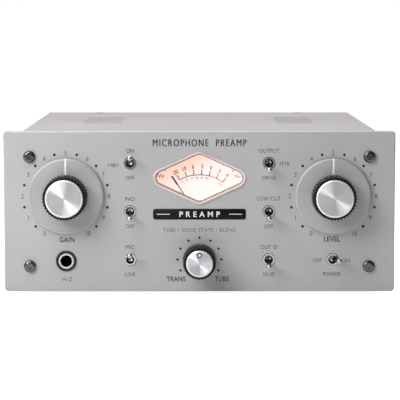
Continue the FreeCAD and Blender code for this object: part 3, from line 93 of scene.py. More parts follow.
PANEL_FRONT = low("front_panel").y
PANEL_BOTTOM = low("front_panel").z
PANEL_TOP = high("front_panel").z
REAR_FACE = high("rear_panel").y
DIALS = {"gain": middle("gain_shaft"), "level": middle("level_shaft")}
BLEND = middle("blend_shaft")
print("panel front at y", round(PANEL_FRONT, 2), "and its top at z", round(PANEL_TOP, 2))

# %% [markdown]
# ## The camera
# A small product is photographed from more than a metre away with a long lens, so its
# upright edges stay almost parallel. The camera stands a little above the middle of the
# panel and looks slightly down, which shows a strip of the lid behind the front panel.
# It is placed by distance from the panel, then turned by angles.

# %% Camera
CAMERA_AWAY = 1.0823        # metres in front of the panel
CAMERA_UP = 0.15283         # metres above the panel's lower edge
CAMERA_LEFT = 0.00241
camera_data = bpy.data.cameras.new("camera")
camera_data.lens = 177.29
camera_data.sensor_width = 36
camera_data.clip_start = 0.05
camera_data.clip_end = 60
camera = bpy.data.objects.new("camera", camera_data)
camera.location = (-CAMERA_LEFT, PANEL_FRONT * MM - CAMERA_AWAY, PANEL_BOTTOM * MM + CAMERA_UP)
camera.rotation_euler = (math.radians(84.62), 0, math.radians(-0.1438))
bpy.context.scene.collection.objects.link(camera)
bpy.context.scene.camera = camera
bpy.context.scene.view_settings.view_transform = "Standard"
print("camera to panel in mm", round(PANEL_FRONT - camera.location.y / MM, 1))

# %% [markdown]
# ## Floor and light
# The box stands on a plain white floor that runs far back, so it meets the white
# surroundings without a line. The floor glows faintly, as a lit studio sweep does.
# One soft square lamp high on the left is the main light. It throws the knob shadows
# down to the right. A second lamp, overhead and in front, draws the bright fans on the
# turned metal caps, and a wide one behind the panel lights the lid.

# %% Floor, lamps and surroundings
floor_mesh = bpy.data.meshes.new("floor")
rim = [(30 * math.cos(a), 30 * math.sin(a), 0) for a in (math.tau * i / 96 for i in range(96))]
floor_mesh.from_pydata(rim, [], [range(96)])
floor = bpy.data.objects.new("floor", floor_mesh)
bpy.context.scene.collection.objects.link(floor)
floor_paint = bpy.data.materials.new("floor_white")
floor_paint.use_nodes = True
floor_shader = floor_paint.node_tree.nodes["Principled BSDF"]
floor_shader.inputs["Base Color"].default_value = (0.86, 0.86, 0.86, 1)
floor_shader.inputs["Roughness"].default_value = 0.7
floor_shader.inputs["Emission Color"].default_value = (1, 1, 1, 1)
seen = floor_paint.node_tree.nodes.new("ShaderNodeLightPath")
floor_glow = floor_paint.node_tree.nodes.new("ShaderNodeMapRange")
floor_glow.inputs["To Min"].default_value = 0.05
floor_glow.inputs["To Max"].default_value = 0.95
floor_paint.node_tree.links.new(seen.outputs["Is Camera Ray"], floor_glow.inputs["Value"])
floor_paint.node_tree.links.new(floor_glow.outputs["Result"], floor_shader.inputs["Emission Strength"])
floor_mesh.materials.append(floor_paint)


def lamp(name, position, size, power, colour=(1, 1, 1)):
    """A square soft lamp that looks at the middle of the panel."""
    data = bpy.data.lights.new(name, "AREA")
    data.size = size
    data.energy = power
    data.color = colour
    made = bpy.data.objects.new(name, data)
    made.location = position
    aim = Vector((0, PANEL_FRONT * MM, 0.05)) - made.location
    made.rotation_euler = aim.to_track_quat("-Z", "Y").to_euler()
    bpy.context.scene.collection.objects.link(made)
    return made


lamp("key", (-0.44, -0.58, 0.38), 0.28, 2.75, (1.0, 0.985, 0.985))
lamp("overhead", (-0.22, -0.44, 0.58), 0.36, 1.9)
lamp("lid", (0.0, 0.30, 0.90), 0.7, 6.6)

world = bpy.data.worlds.new("studio")
bpy.context.scene.world = world
world.use_nodes = True
sky = world.node_tree.nodes["Background"]
sky.inputs["Color"].default_value = (1, 1, 1, 1)
ray = world.node_tree.nodes.new("ShaderNodeLightPath")
bright = world.node_tree.nodes.new("ShaderNodeMapRange")
bright.inputs["To Min"].default_value = 0.065
bright.inputs["To Max"].default_value = 1.0
world.node_tree.links.new(ray.outputs["Is Camera Ray"], bright.inputs["Value"])
world.node_tree.links.new(bright.outputs["Result"], sky.inputs["Strength"])

# %% [markdown]
# ## Tools for node trees
# A finish is a small machine of nodes. Three helpers keep the building short: one adds
# a node and sets its values, one joins two sockets, and one makes an empty node group
# with named inputs and outputs. An effect that several finishes share, such as grain,
# goes into a group once, and each finish places that group with its own numbers.

# %% Node helpers
def add(tree, kind, **values):
    """A new node. A name that the node has as a property is set there, any other is an input."""
    made = tree.nodes.new("ShaderNode" + kind)
    for name, value in values.items():
        if hasattr(made, name):
            setattr(made, name, value)
        else:
            made.inputs[name.replace("_", " ")].default_value = value
    return made


def join(tree, *pairs):
    for start, end in pairs:
        tree.links.new(start, end)


def new_group(name, inputs, outputs):
    """An empty shader node group. inputs and outputs are {name: (kind, value)}."""
    tree = bpy.data.node_groups.new(name, "ShaderNodeTree")
    for label, (kind, value) in inputs.items():
        socket = tree.interface.new_socket(label, in_out="INPUT", socket_type="NodeSocket" + kind)
        if value is not None:
            socket.default_value = value
    for label, kind in outputs.items():
        tree.interface.new_socket(label, in_out="OUTPUT", socket_type="NodeSocket" + kind)
    return tree, tree.nodes.new("NodeGroupInput"), tree.nodes.new("NodeGroupOutput")


def place(tree, group, **values):
    made = add(tree, "Group")
    made.node_tree = group
    for name, value in values.items():
        made.inputs[name.replace("_", " ")].default_value = value
    return made


# %% [markdown]
# ## Grain: the unevenness that every surface has
# Paint, plastic and metal all vary a little: a cloudy shift of tone over centimetres and
# a fine tooth under a millimetre. Two noise textures give both. The group works in the
# object's own metres, so the same grain size looks the same on every part.

# %% Group: surface grain
grain, g_in, g_out = new_group(
    "surface_grain",
    {"Colour": ("Color", (0.5, 0.5, 0.5, 1)), "Tone Shift": ("Float", 0.05),
     "Roughness": ("Float", 0.4), "Gloss Shift": ("Float", 0.06),
     "Grains per Metre": ("Float", 3000.0), "Clouds per Metre": ("Float", 25.0)},
    {"Colour": "Color", "Roughness": "Float", "Height": "Float"})
where = add(grain, "TexCoord")
fine = add(grain, "TexNoise", Detail=2.0, Roughness=0.6)
clouds = add(grain, "TexNoise", Detail=3.0, Roughness=0.55)
both = add(grain, "Mix", data_type="FLOAT")
both.inputs[0].default_value = 0.35
span = add(grain, "MapRange")
span.inputs["From Min"].default_value = 0.3
span.inputs["From Max"].default_value = 0.7
span.inputs["To Min"].default_value = -1.0
shift = add(grain, "Math", operation="MULTIPLY_ADD")
shift.inputs[2].default_value = 1.0
tone = add(grain, "VectorMath", operation="SCALE")
gloss = add(grain, "Math", operation="MULTIPLY_ADD")
join(grain,
     (where.outputs["Object"], fine.inputs["Vector"]),
     (where.outputs["Object"], clouds.inputs["Vector"]),
     (g_in.outputs["Grains per Metre"], fine.inputs["Scale"]),
     (g_in.outputs["Clouds per Metre"], clouds.inputs["Scale"]),
     (clouds.outputs["Fac"], both.inputs[2]),
     (fine.outputs["Fac"], both.inputs[3]),
     (both.outputs[0], span.inputs["Value"]),
     (span.outputs["Result"], shift.inputs[0]),
     (g_in.outputs["Tone Shift"], shift.inputs[1]),
     (g_in.outputs["Colour"], tone.inputs[0]),
     (shift.outputs[0], tone.inputs["Scale"]),
     (span.outputs["Result"], gloss.inputs[0]),
     (g_in.outputs["Gloss Shift"], gloss.inputs[1]),
     (g_in.outputs["Roughness"], gloss.inputs[2]),
     (tone.outputs[0], g_out.inputs["Colour"]),
     (gloss.outputs[0], g_out.inputs["Roughness"]),
     (fine.outputs["Fac"], g_out.inputs["Height"]))
print("group", grain.name, "with", len(grain.nodes), "nodes")

# %% [markdown]
# ## Edge wear: where fingers and cloths rub
# Corners lose their finish first. The Bevel node answers with a rounded normal near an
# edge and the true normal elsewhere. Where the two differ there is an edge, and a noise
# breaks that line up so that it isn't even.

# %% Group: edge wear
wear, w_in, w_out = new_group(
    "edge_wear",
    {"Colour": ("Color", (0.5, 0.5, 0.5, 1)), "Worn Colour": ("Color", (0.8, 0.8, 0.8, 1)),
     "Amount": ("Float", 0.5), "Radius": ("Float", 0.0004)},
    {"Colour": "Color"})
soft = add(wear, "Bevel")
soft.samples = 4
true = add(wear, "NewGeometry")
alike = add(wear, "VectorMath", operation="DOT_PRODUCT")
edge = add(wear, "MapRange")
edge.inputs["From Min"].default_value = 0.995
edge.inputs["From Max"].default_value = 0.80
spot = add(wear, "TexCoord")
patchy = add(wear, "TexNoise", Scale=420.0, Detail=3.0)
patch = add(wear, "MapRange")
patch.inputs["From Min"].default_value = 0.40
patch.inputs["From Max"].default_value = 0.66
broken = add(wear, "Math", operation="MULTIPLY")
worn = add(wear, "Math", operation="MULTIPLY")
blend_in = add(wear, "Mix", data_type="RGBA")
join(wear,
     (w_in.outputs["Radius"], soft.inputs["Radius"]),
     (soft.outputs["Normal"], alike.inputs[0]),
     (true.outputs["Normal"], alike.inputs[1]),
     (alike.outputs["Value"], edge.inputs["Value"]),
     (spot.outputs["Object"], patchy.inputs["Vector"]),
     (patchy.outputs["Fac"], patch.inputs["Value"]),
     (edge.outputs["Result"], broken.inputs[0]),
     (patch.outputs["Result"], broken.inputs[1]),
     (broken.outputs[0], worn.inputs[0]),
     (w_in.outputs["Amount"], worn.inputs[1]),
     (worn.outputs[0], blend_in.inputs[0]),
     (w_in.outputs["Colour"], blend_in.inputs[6]),
     (w_in.outputs["Worn Colour"], blend_in.inputs[7]),
     (blend_in.outputs[2], w_out.inputs["Colour"]))
print("group", wear.name, "with", len(wear.nodes), "nodes")

# %% [markdown]
# ## Dust and painted sheen: what lightens upward faces
# Dust lies where a surface looks up. The Z of the surface normal says how much it does,
# and noise scatters the specks. The group takes a colour and gives it back lighter where
# the surface looks up. On most parts that is dust. On the black grips it is also a painted
# sheen: the light from above, painted onto the upper side of the ribs.

# %% Group: dust and painted sheen
dust, d_in, d_out = new_group(
    "dust",
    {"Colour": ("Color", (0.5, 0.5, 0.5, 1)), "Dust and Sheen Colour": ("Color", (0.62, 0.60, 0.57, 1)),
     "Amount": ("Float", 0.2), "Specks per Metre": ("Float", 900.0)},
    {"Colour": "Color"})
facing = add(dust, "NewGeometry")
axes = add(dust, "SeparateXYZ")
upward = add(dust, "MapRange")
upward.inputs["From Min"].default_value = 0.35
spread = add(dust, "TexCoord")
specks = add(dust, "TexNoise", Detail=4.0, Roughness=0.7)
settled = add(dust, "MapRange")
settled.inputs["From Min"].default_value = 0.42
settled.inputs["From Max"].default_value = 0.68
lying = add(dust, "Math", operation="MULTIPLY")
thin = add(dust, "Math", operation="MULTIPLY")
dust_and_sheen_mix = add(dust, "Mix", data_type="RGBA")
join(dust,
     (facing.outputs["Normal"], axes.inputs[0]),
     (axes.outputs["Z"], upward.inputs["Value"]),
     (spread.outputs["Object"], specks.inputs["Vector"]),
     (d_in.outputs["Specks per Metre"], specks.inputs["Scale"]),
     (specks.outputs["Fac"], settled.inputs["Value"]),
     (upward.outputs["Result"], lying.inputs[0]),
     (settled.outputs["Result"], lying.inputs[1]),
     (lying.outputs[0], thin.inputs[0]),
     (d_in.outputs["Amount"], thin.inputs[1]),
     (thin.outputs[0], dust_and_sheen_mix.inputs[0]),
     (d_in.outputs["Colour"], dust_and_sheen_mix.inputs[6]),
     (d_in.outputs["Dust and Sheen Colour"], dust_and_sheen_mix.inputs[7]),
     (dust_and_sheen_mix.outputs[2], d_out.inputs["Colour"]))
print("group", dust.name, "with", len(dust.nodes), "nodes")

# %% [markdown]
# ## Turned rings: the marks of a lathe
# The caps and dial skirts are turned from aluminium. The tool leaves hundreds of fine
# rings round the axis, so the pattern depends only on the distance from that axis. Each
# turned piece has its origin on its own axis, so that distance is simply the radius.
# A noise with one dimension, read along the radius, gives rings of uneven strength.

# %% Group: turned rings
rings, r_in, r_out = new_group(
    "turned_rings",
    {"Rings per Metre": ("Float", 9000.0)},
    {"Height": "Float", "Tone": "Float"})
local = add(rings, "TexCoord")
parts = add(rings, "SeparateXYZ")
flat = add(rings, "CombineXYZ")
radius = add(rings, "VectorMath", operation="LENGTH")
cut_marks = add(rings, "TexNoise", noise_dimensions="1D", Detail=3.0, Roughness=0.75)
broad = add(rings, "TexNoise", noise_dimensions="1D", Scale=650.0, Detail=1.0)
join(rings,
     (local.outputs["Object"], parts.inputs[0]),
     (parts.outputs["X"], flat.inputs["X"]), (parts.outputs["Z"], flat.inputs["Z"]),
     (flat.outputs[0], radius.inputs[0]),
     (radius.outputs["Value"], cut_marks.inputs["W"]),
     (radius.outputs["Value"], broad.inputs["W"]),
     (r_in.outputs["Rings per Metre"], cut_marks.inputs["Scale"]),
     (cut_marks.outputs["Fac"], r_out.inputs["Height"]),
     (broad.outputs["Fac"], r_out.inputs["Tone"]))
print("group", rings.name, "with", len(rings.nodes), "nodes")

# %% [markdown]
# ## A recipe for finishes
# Most finishes here have the same build: grain for tone and gloss, then perhaps worn
# edges, then perhaps dust (on the black grips also a painted sheen), and last a Bump for
# the fine tooth. One function lays these in order and leaves the shader itself in the
# material. Values that are the same all over, such as Metallic or Coat Weight, are set
# on the shader's own sockets.

# %% Function: a grained finish
def finish(name, colour, roughness, metallic=0.0, tone=0.05, gloss=0.05, grains=3000.0,
           clouds=25.0, bump=0.2, depth=0.00002, worn=None, dust_and_sheen=0.0, **plain):
    made = bpy.data.materials.new(name)
    made.use_nodes = True
    tree = made.node_tree
    shader = tree.nodes["Principled BSDF"]
    shader.inputs["Metallic"].default_value = metallic
    for label, value in plain.items():
        shader.inputs[label.replace("_", " ")].default_value = value
    base = place(tree, grain, Colour=(*colour, 1), Tone_Shift=tone, Roughness=roughness,
                 Gloss_Shift=gloss, Grains_per_Metre=grains, Clouds_per_Metre=clouds)
    painted = base.outputs["Colour"]
    if worn:
        edges = place(tree, wear, Worn_Colour=(*worn[0], 1), Amount=worn[1], Radius=worn[2])
        join(tree, (painted, edges.inputs["Colour"]))
        painted = edges.outputs["Colour"]
    if dust_and_sheen:
        dust_and_sheen_layer = place(tree, dust, Amount=dust_and_sheen)
        join(tree, (painted, dust_and_sheen_layer.inputs["Colour"]))
        painted = dust_and_sheen_layer.outputs["Colour"]
    relief = add(tree, "Bump", Strength=bump, Distance=depth)
    join(tree,
         (painted, shader.inputs["Base Color"]),
         (base.outputs["Roughness"], shader.inputs["Roughness"]),
         (base.outputs["Height"], relief.inputs["Height"]),
         (relief.outputs["Normal"], shader.inputs["Normal"]))
    return made


# %% [markdown]
# ## Spun aluminium
# A turned disc doesn't shine like a ball. Each ring is a tiny groove, so light spreads
# along the radius and stays narrow round the circle. That is anisotropy, and it draws
# the two bright fans that face each other across a knob cap. The Tangent node gives the
# direction round the Y axis, and a quarter turn makes the spread follow the radius.

# %% Function: a turned metal finish
def turned(name, colour, roughness, spread, tooth=0.12, tone=0.03, metallic=1.0):
    made = bpy.data.materials.new(name)
    made.use_nodes = True
    tree = made.node_tree
    shader = tree.nodes["Principled BSDF"]
    shader.inputs["Metallic"].default_value = metallic
    shader.inputs["Anisotropic"].default_value = spread
    shader.inputs["Anisotropic Rotation"].default_value = 0.25
    direction = add(tree, "Tangent", direction_type="RADIAL", axis="Y")
    marks = place(tree, rings)
    base = place(tree, grain, Colour=(*colour, 1), Tone_Shift=0.03, Roughness=roughness,
                 Gloss_Shift=0.03, Grains_per_Metre=2500.0, Clouds_per_Metre=90.0)
    lathe_tone = add(tree, "MapRange")
    lathe_tone.inputs["From Min"].default_value = 0.3
    lathe_tone.inputs["From Max"].default_value = 0.7
    lathe_tone.inputs["To Min"].default_value = 1.0 - tone
    lathe_tone.inputs["To Max"].default_value = 1.0 + tone
    toned = add(tree, "VectorMath", operation="SCALE")
    relief = add(tree, "Bump", Strength=tooth, Distance=0.00001)
    join(tree,
         (direction.outputs["Tangent"], shader.inputs["Tangent"]),
         (marks.outputs["Tone"], lathe_tone.inputs["Value"]),
         (base.outputs["Colour"], toned.inputs[0]),
         (lathe_tone.outputs["Result"], toned.inputs["Scale"]),
         (toned.outputs[0], shader.inputs["Base Color"]),
         (base.outputs["Roughness"], shader.inputs["Roughness"]),
         (marks.outputs["Height"], relief.inputs["Height"]),
         (relief.outputs["Normal"], shader.inputs["Normal"]))
    return made


# %% [markdown]
# ## The finishes of the frame's own parts
# Each part of the frame carries the name of its material slot. This table gives every
# slot a finish: a silver satin paint with a fine tooth on the panel, a slightly warmer
# one on the case, plated and blackened steel, rubber, ceramic, glass and the rest.

# %% Finishes for every material slot
PAINT = (0.50, 0.497, 0.507)
finishes = {
    "panel_paint": finish("silver_panel_paint", PAINT, 0.42, 0.25, tone=0.035, grains=5200.0,
                          clouds=14.0, bump=0.12, worn=((0.88, 0.88, 0.90), 0.75, 0.0005), dust_and_sheen=0.05),
    "case_paint": finish("silver_case_paint", (0.56, 0.535, 0.54), 0.5, 0.15, tone=0.04,
                         grains=4200.0, clouds=12.0, bump=0.2,
                         worn=((0.80, 0.79, 0.79), 0.6, 0.0005), dust_and_sheen=0.12),
    "plated_steel": finish("zinc_plated_steel", (0.62, 0.62, 0.60), 0.36, 1.0, tone=0.10,
                           grains=1500.0, clouds=60.0, bump=0.1, dust_and_sheen=0.15),
    "black_steel": finish("blackened_steel", (0.16, 0.16, 0.165), 0.24, 1.0, tone=0.12,
                          grains=4000.0, clouds=300.0, worn=((0.5, 0.5, 0.5), 0.7, 0.0002)),
    "rubber": finish("foot_rubber", (0.018, 0.018, 0.019), 0.75, tone=0.25, grains=3500.0,
                     bump=0.5, depth=0.00004, dust_and_sheen=0.3),
    # On the black grips the dust amount is also a painted sheen: it lightens the upper side of the ribs,
    # where the light from above shines.
    "knob_black": finish("moulded_knob_black", (0.005, 0.005, 0.006), 0.42, tone=0.2,
                         grains=4500.0, clouds=120.0, bump=0.1, dust_and_sheen=0.2,
                         Specular_IOR_Level=0.22),
    "spun_aluminium": turned("spun_cap", (0.84, 0.84, 0.87), 0.42, 0.93),
    "shaft_steel": finish("ground_shaft_steel", (0.55, 0.55, 0.56), 0.25, 1.0, grains=2600.0),
    "nickel": finish("bright_nickel", (0.66, 0.63, 0.60), 0.17, 1.0, tone=0.06, gloss=0.08,
                     grains=1800.0, clouds=220.0, bump=0.08),
    "lens_clear": finish("clear_moulding", (0.95, 0.95, 0.95), 0.05, Transmission_Weight=1.0),
    # The meter's case plastic gives off a faint warm glow: painted lamp light on its walls.
    "meter_plastic": finish("meter_case_plastic_painted_glow", (0.72, 0.64, 0.56), 0.5, tone=0.05,
                            Emission_Color=(1.0, 0.70, 0.52, 1), Emission_Strength=0.25),
    "dial_ivory": finish("dial_plate_ivory", (0.86, 0.80, 0.72), 0.55, tone=0.03),
    "needle_black": finish("needle_black", (0.02, 0.02, 0.022), 0.4, tone=0.2),
    "magnet_steel": finish("magnet_steel", (0.32, 0.32, 0.33), 0.42, 1.0, tone=0.12, clouds=200.0),
    "lamp_glass": finish("warm_lamp_glass", (1.0, 0.78, 0.5), 0.15, tone=0.05,
                         Emission_Color=(1.0, 0.60, 0.30, 1), Emission_Strength=2.0),
    "board_green": finish("circuit_board_green", (0.02, 0.12, 0.05), 0.35, tone=0.3,
                          clouds=500.0, Coat_Weight=0.4),
    "ceramic": finish("socket_ceramic", (0.78, 0.75, 0.68), 0.35, tone=0.05, dust_and_sheen=0.2),
    "tube_glass": finish("tube_glass", (0.9, 0.92, 0.92), 0.06, Transmission_Weight=0.85),
    "capacitor_sleeve": finish("capacitor_sleeve", (0.03, 0.05, 0.16), 0.3, tone=0.12,
                               Coat_Weight=0.3, dust_and_sheen=0.2),
    "sink_black": finish("anodised_sink_black", (0.03, 0.03, 0.03), 0.45, 0.4, tone=0.2, dust_and_sheen=0.2),
    "winding": finish("taped_winding", (0.55, 0.34, 0.06), 0.45, tone=0.25, grains=900.0,
                      bump=0.4, depth=0.0001),
    "connector_metal": finish("satin_nickel_shell", (0.42, 0.42, 0.43), 0.33, 1.0, tone=0.08,
                              grains=3800.0, bump=0.15, worn=((0.75, 0.75, 0.76), 0.6, 0.0003)),
    "connector_black": finish("connector_nylon_black", (0.02, 0.02, 0.022), 0.5, tone=0.25,
                              grains=5000.0, bump=0.3, dust_and_sheen=0.08),
    "contact_silver": finish("silver_contacts", (0.78, 0.77, 0.74), 0.22, 1.0, tone=0.08),
}
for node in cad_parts.values():
    for material_slot in node.material_slots:
        material_slot.material = finishes[material_slot.material.name.split(".")[0]]
print("finishes", len(finishes))

# %% [markdown]
# ## Making pieces from code
# A piece starts as a bmesh, Blender's editable mesh in memory. The first helper turns one
# into an object: it works in millimetres, makes the normals point outward, keeps edges
# sharp where faces meet steeply, and lets the object ride on a body. The second spins a
# profile round the Y axis, as a lathe does. A profile is a list of (radius, distance in
# front of the panel).

# %% Functions: finish a bmesh, turn a profile
def settle(name, bm, material, body, origin=(0.0, 0.0, 0.0), sharp=38):
    """Make an object of bm, which is in millimetres round origin, and let it ride on body."""
    bmesh.ops.remove_doubles(bm, verts=bm.verts, dist=0.0005)
    bmesh.ops.recalc_face_normals(bm, faces=bm.faces)
    for face in bm.faces:
        face.smooth = True
    for corner in bm.edges:
        if len(corner.link_faces) == 2:
            corner.smooth = corner.calc_face_angle(0.0) < math.radians(sharp)
    bmesh.ops.scale(bm, vec=(MM, MM, MM), verts=bm.verts)
    mesh = bpy.data.meshes.new(name)
    bm.to_mesh(mesh)
    bm.free()
    mesh.materials.append(material)
    made = bpy.data.objects.new(name, mesh)
    made.location = Vector(origin) * MM
    bpy.context.scene.collection.objects.link(made)
    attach(made, body)
    print(name, len(mesh.vertices), "points on", body)
    return made


def spin(bm, profile, steps=96, closed=False, at=(0.0, 0.0)):
    """Turn the profile round the Y axis. A radius of zero makes a pole."""
    loops = []
    for radius_mm, out in profile:
        if radius_mm == 0:
            loops.append([bm.verts.new((at[0], -out, at[1]))])
            continue
        loops.append([bm.verts.new((at[0] + radius_mm * math.sin(math.tau * i / steps), -out,
                                    at[1] + radius_mm * math.cos(math.tau * i / steps)))
                      for i in range(steps)])
    pairs = list(zip(loops, loops[1:] + loops[:1])) if closed else list(zip(loops, loops[1:]))
    for first, second in pairs:
        for i in range(steps):
            j = (i + 1) % steps
            corners = [first[i % len(first)], first[j % len(first)],
                       second[j % len(second)], second[i % len(second)]]
            bm.faces.new(list(dict.fromkeys(corners)))


# %% [markdown]
# ## Dial skirts
# Each big knob sits on a thin turned disc that carries the white pointer. The disc is a
# spun profile with a bevelled rim, a shallow step under the bevel and a bore for the
# shaft. The front face has one fine turned line near the rim, which catches the light.

# %% Dial skirts
SKIRT_R = (high("gain_knob_skirt").x - low("gain_knob_skirt").x) / 2
SKIRT_BACK = PANEL_FRONT - high("gain_knob_skirt").y
SKIRT_FRONT = PANEL_FRONT - low("gain_knob_skirt").y
SHAFT_R = (high("gain_shaft").x - low("gain_shaft").x) / 2
skirt_metal = turned("spun_skirt", (0.47, 0.47, 0.48), 0.42, 0.6, tone=0.02, metallic=0.15)
for knob, axis in DIALS.items():
    bm = bmesh.new()
    spin(bm, [(SHAFT_R + 0.05, SKIRT_BACK), (SKIRT_R - 0.5, SKIRT_BACK),
              (SKIRT_R - 0.1, SKIRT_BACK + 0.15), (SKIRT_R, SKIRT_BACK + 0.5),
              (SKIRT_R, SKIRT_BACK + 1.6), (SKIRT_R - 0.08, SKIRT_BACK + 1.8),
              (SKIRT_R - 0.62, SKIRT_FRONT - 0.12), (SKIRT_R - 0.78, SKIRT_FRONT),
              (SKIRT_R - 1.7, SKIRT_FRONT), (SKIRT_R - 1.76, SKIRT_FRONT - 0.06),
              (SKIRT_R - 1.86, SKIRT_FRONT - 0.06), (SKIRT_R - 1.92, SKIRT_FRONT),
              (SHAFT_R + 0.05, SKIRT_FRONT)], steps=144, closed=True)
    skirt = settle(knob + "_skirt_disc", bm, skirt_metal, knob + "_control",
                   (axis.x, PANEL_FRONT, axis.z))
    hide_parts(knob + "_knob_skirt")

# %% [markdown]
# ## Pointer lines
# The white pointer is a painted stripe from the grip to the rim of the disc. It is a thin
# slab that lies on the disc and bends down over the bevel, so it still shows from above.

# %% Pointer lines
white_paint = finish("pointer_white", (0.93, 0.93, 0.92), 0.4, tone=0.03, bump=0.1)
for knob, axis in DIALS.items():
    bm = bmesh.new()
    path = [(11.4, SKIRT_FRONT), (SKIRT_R - 0.78, SKIRT_FRONT),
            (SKIRT_R - 0.62, SKIRT_FRONT - 0.12), (SKIRT_R - 0.08, SKIRT_BACK + 1.8)]
    slices = []
    for r, out in path:
        slices.append([bm.verts.new((x, -(out + lift), r + lift * 0.5))
                       for x, lift in ((-0.45, -0.03), (-0.43, 0.05), (0.43, 0.05), (0.45, -0.03))])
    for one, two in zip(slices, slices[1:]):
        for i in range(4):
            bm.faces.new([one[i], one[(i + 1) % 4], two[(i + 1) % 4], two[i]])
    bm.faces.new(slices[0])
    bm.faces.new(slices[-1])
    settle(knob + "_pointer", bm, white_paint, knob + "_control",
           (axis.x, PANEL_FRONT, axis.z))

# %% [markdown]
# ## Fluted grips
# The black grips are moulded with forty ribs. A rib is flat on its tip and the
# groove between two ribs is round, so a ring of the grip is a circle whose radius dips
# once for every groove. Rings of that shape are stacked from the foot to the front,
# getting a little narrower, and the dips fade out where the front edge rounds over.
# A Boolean modifier then drills the hole in which the set screw sits, from the edge of
# the grip down to the shaft.

# %% Fluted grips
RIBS = 40
DIP = [0.0, 0.0, 0.42, 0.84, 1.0, 0.84, 0.42, 0.0]
PHASE = [0.0, 0.19, 0.28, 0.39, 0.5, 0.61, 0.72, 0.81]


def fluted_ring(bm, radius_mm, out, depth):
    loop = []
    for rib in range(RIBS):
        for phase, dip in zip(PHASE, DIP):
            a = math.tau * (rib + phase) / RIBS
            r = radius_mm - depth * dip
            loop.append(bm.verts.new((r * math.sin(a), -out, r * math.cos(a))))
    return loop


def drilled(bm, tool):
    """Cut the shape of tool out of bm and give the cut bmesh back."""
    bmesh.ops.recalc_face_normals(bm, faces=bm.faces)
    pieces = []
    for part in (bm, tool):
        mesh = bpy.data.meshes.new("drilling")
        part.to_mesh(mesh)
        part.free()
        piece = bpy.data.objects.new("drilling", mesh)
        bpy.context.scene.collection.objects.link(piece)
        pieces.append(piece)
    cut = pieces[0].modifiers.new("hole", "BOOLEAN")
    cut.operation = "DIFFERENCE"
    cut.object = pieces[1]
    bpy.context.view_layer.update()
    result = bmesh.new()
    result.from_object(pieces[0], bpy.context.evaluated_depsgraph_get())
    for piece in pieces:
        bpy.data.objects.remove(piece)
    return result


def grip(name, body, axis, node, cap_r, cap_back, hollow_out):
    """A ribbed grip with a bore for the shaft and a seat for the cap."""
    foot = PANEL_FRONT - high(node).y
    front = PANEL_FRONT - low(node).y
    wide = (high(node).x - low(node).x) / 2
    narrow = cap_r + (wide - cap_r) * 0.85
    bm = bmesh.new()
    loops = [fluted_ring(bm, r, out, depth) for r, out, depth in [
        (SHAFT_R + 0.05, hollow_out, 0.0), (SHAFT_R + 0.05, foot, 0.0),
        (wide - 1.9, foot, 0.0), (wide - 0.25, foot, 1.2), (wide, foot + 0.3, 1.45),
        (wide - 0.05, foot + 1.5, 1.45), ((wide + narrow) / 2, (foot + front) / 2, 1.25),
        (narrow, front - 1.0, 1.0), (narrow - 0.08, front - 0.45, 0.8),
        (narrow - 0.3, front - 0.12, 0.42), (narrow - 0.55, front, 0.12),
        (cap_r + 0.12, front, 0.0), (cap_r + 0.06, front - 0.08, 0.0),
        (cap_r + 0.06, cap_back - 0.02, 0.0)]]
    for one, two in zip(loops, loops[1:]):
        for i in range(len(one)):
            j = (i + 1) % len(one)
            bm.faces.new([one[i], one[j], two[j], two[i]])
    bm.faces.new(loops[0])
    bm.faces.new(loops[-1])
    screw = body.replace("control", "set_screw")
    reach = wide + 2
    hole_r = (high(screw).x - low(screw).x) / 2 + 0.06
    drill = bmesh.new()
    bmesh.ops.create_cone(drill, cap_ends=True, segments=24, depth=reach, radius1=hole_r, radius2=hole_r)
    bmesh.ops.translate(drill, verts=drill.verts,
                        vec=(0, middle(screw).y - PANEL_FRONT, high(screw).z - axis.z - reach / 2))
    bm = drilled(bm, drill)
    made = settle(name, bm, finishes["knob_black"], body,
                  (axis.x, PANEL_FRONT, axis.z), sharp=32)
    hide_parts(node)


for knob, axis in DIALS.items():
    node = knob + "_knob_grip"
    cap_node = knob + "_knob_cap"
    grip(knob + "_fluted_grip", knob + "_control", axis, node,
         (high(cap_node).x - low(cap_node).x) / 2, PANEL_FRONT - high(cap_node).y,
         PANEL_FRONT - low(knob + "_shaft").y + 0.1)
grip("blend_fluted_grip", "blend_control", BLEND, "blend_knob_grip",
     (high("blend_knob_cap").x - low("blend_knob_cap").x) / 2,
     PANEL_FRONT - high("blend_knob_cap").y, PANEL_FRONT - low("blend_shaft").y + 0.1)

# %% [markdown]
# ## Knob caps
# The round plate on a knob is turned too, and pressed into the black grip. Its rim is a
# bevel, and the bevel is a ring of its own with a paler, rougher finish than the disc that
# it frames: a painted highlight, so the bevel shows bright all round.

# %% Knob caps
def cap_rim(name, body, origin, radius_mm, face, steps):
    """The bevelled ring at the edge of a cap whose front is face mm before origin."""
    bm = bmesh.new()
    spin(bm, [(radius_mm - 0.85, face - 0.5), (radius_mm, face - 0.75), (radius_mm, face - 0.4),
              (radius_mm - 0.1, face - 0.25), (radius_mm - 0.75, face - 0.03),
              (radius_mm - 0.85, face)], steps=steps, closed=True)
    settle(name, bm, rim_highlight_metal, body, origin)


CAP_R = (high("gain_knob_cap").x - low("gain_knob_cap").x) / 2
CAP_BACK = PANEL_FRONT - high("gain_knob_cap").y
CAP_FRONT = PANEL_FRONT - low("gain_knob_cap").y
cap_metal = finishes["spun_aluminium"]
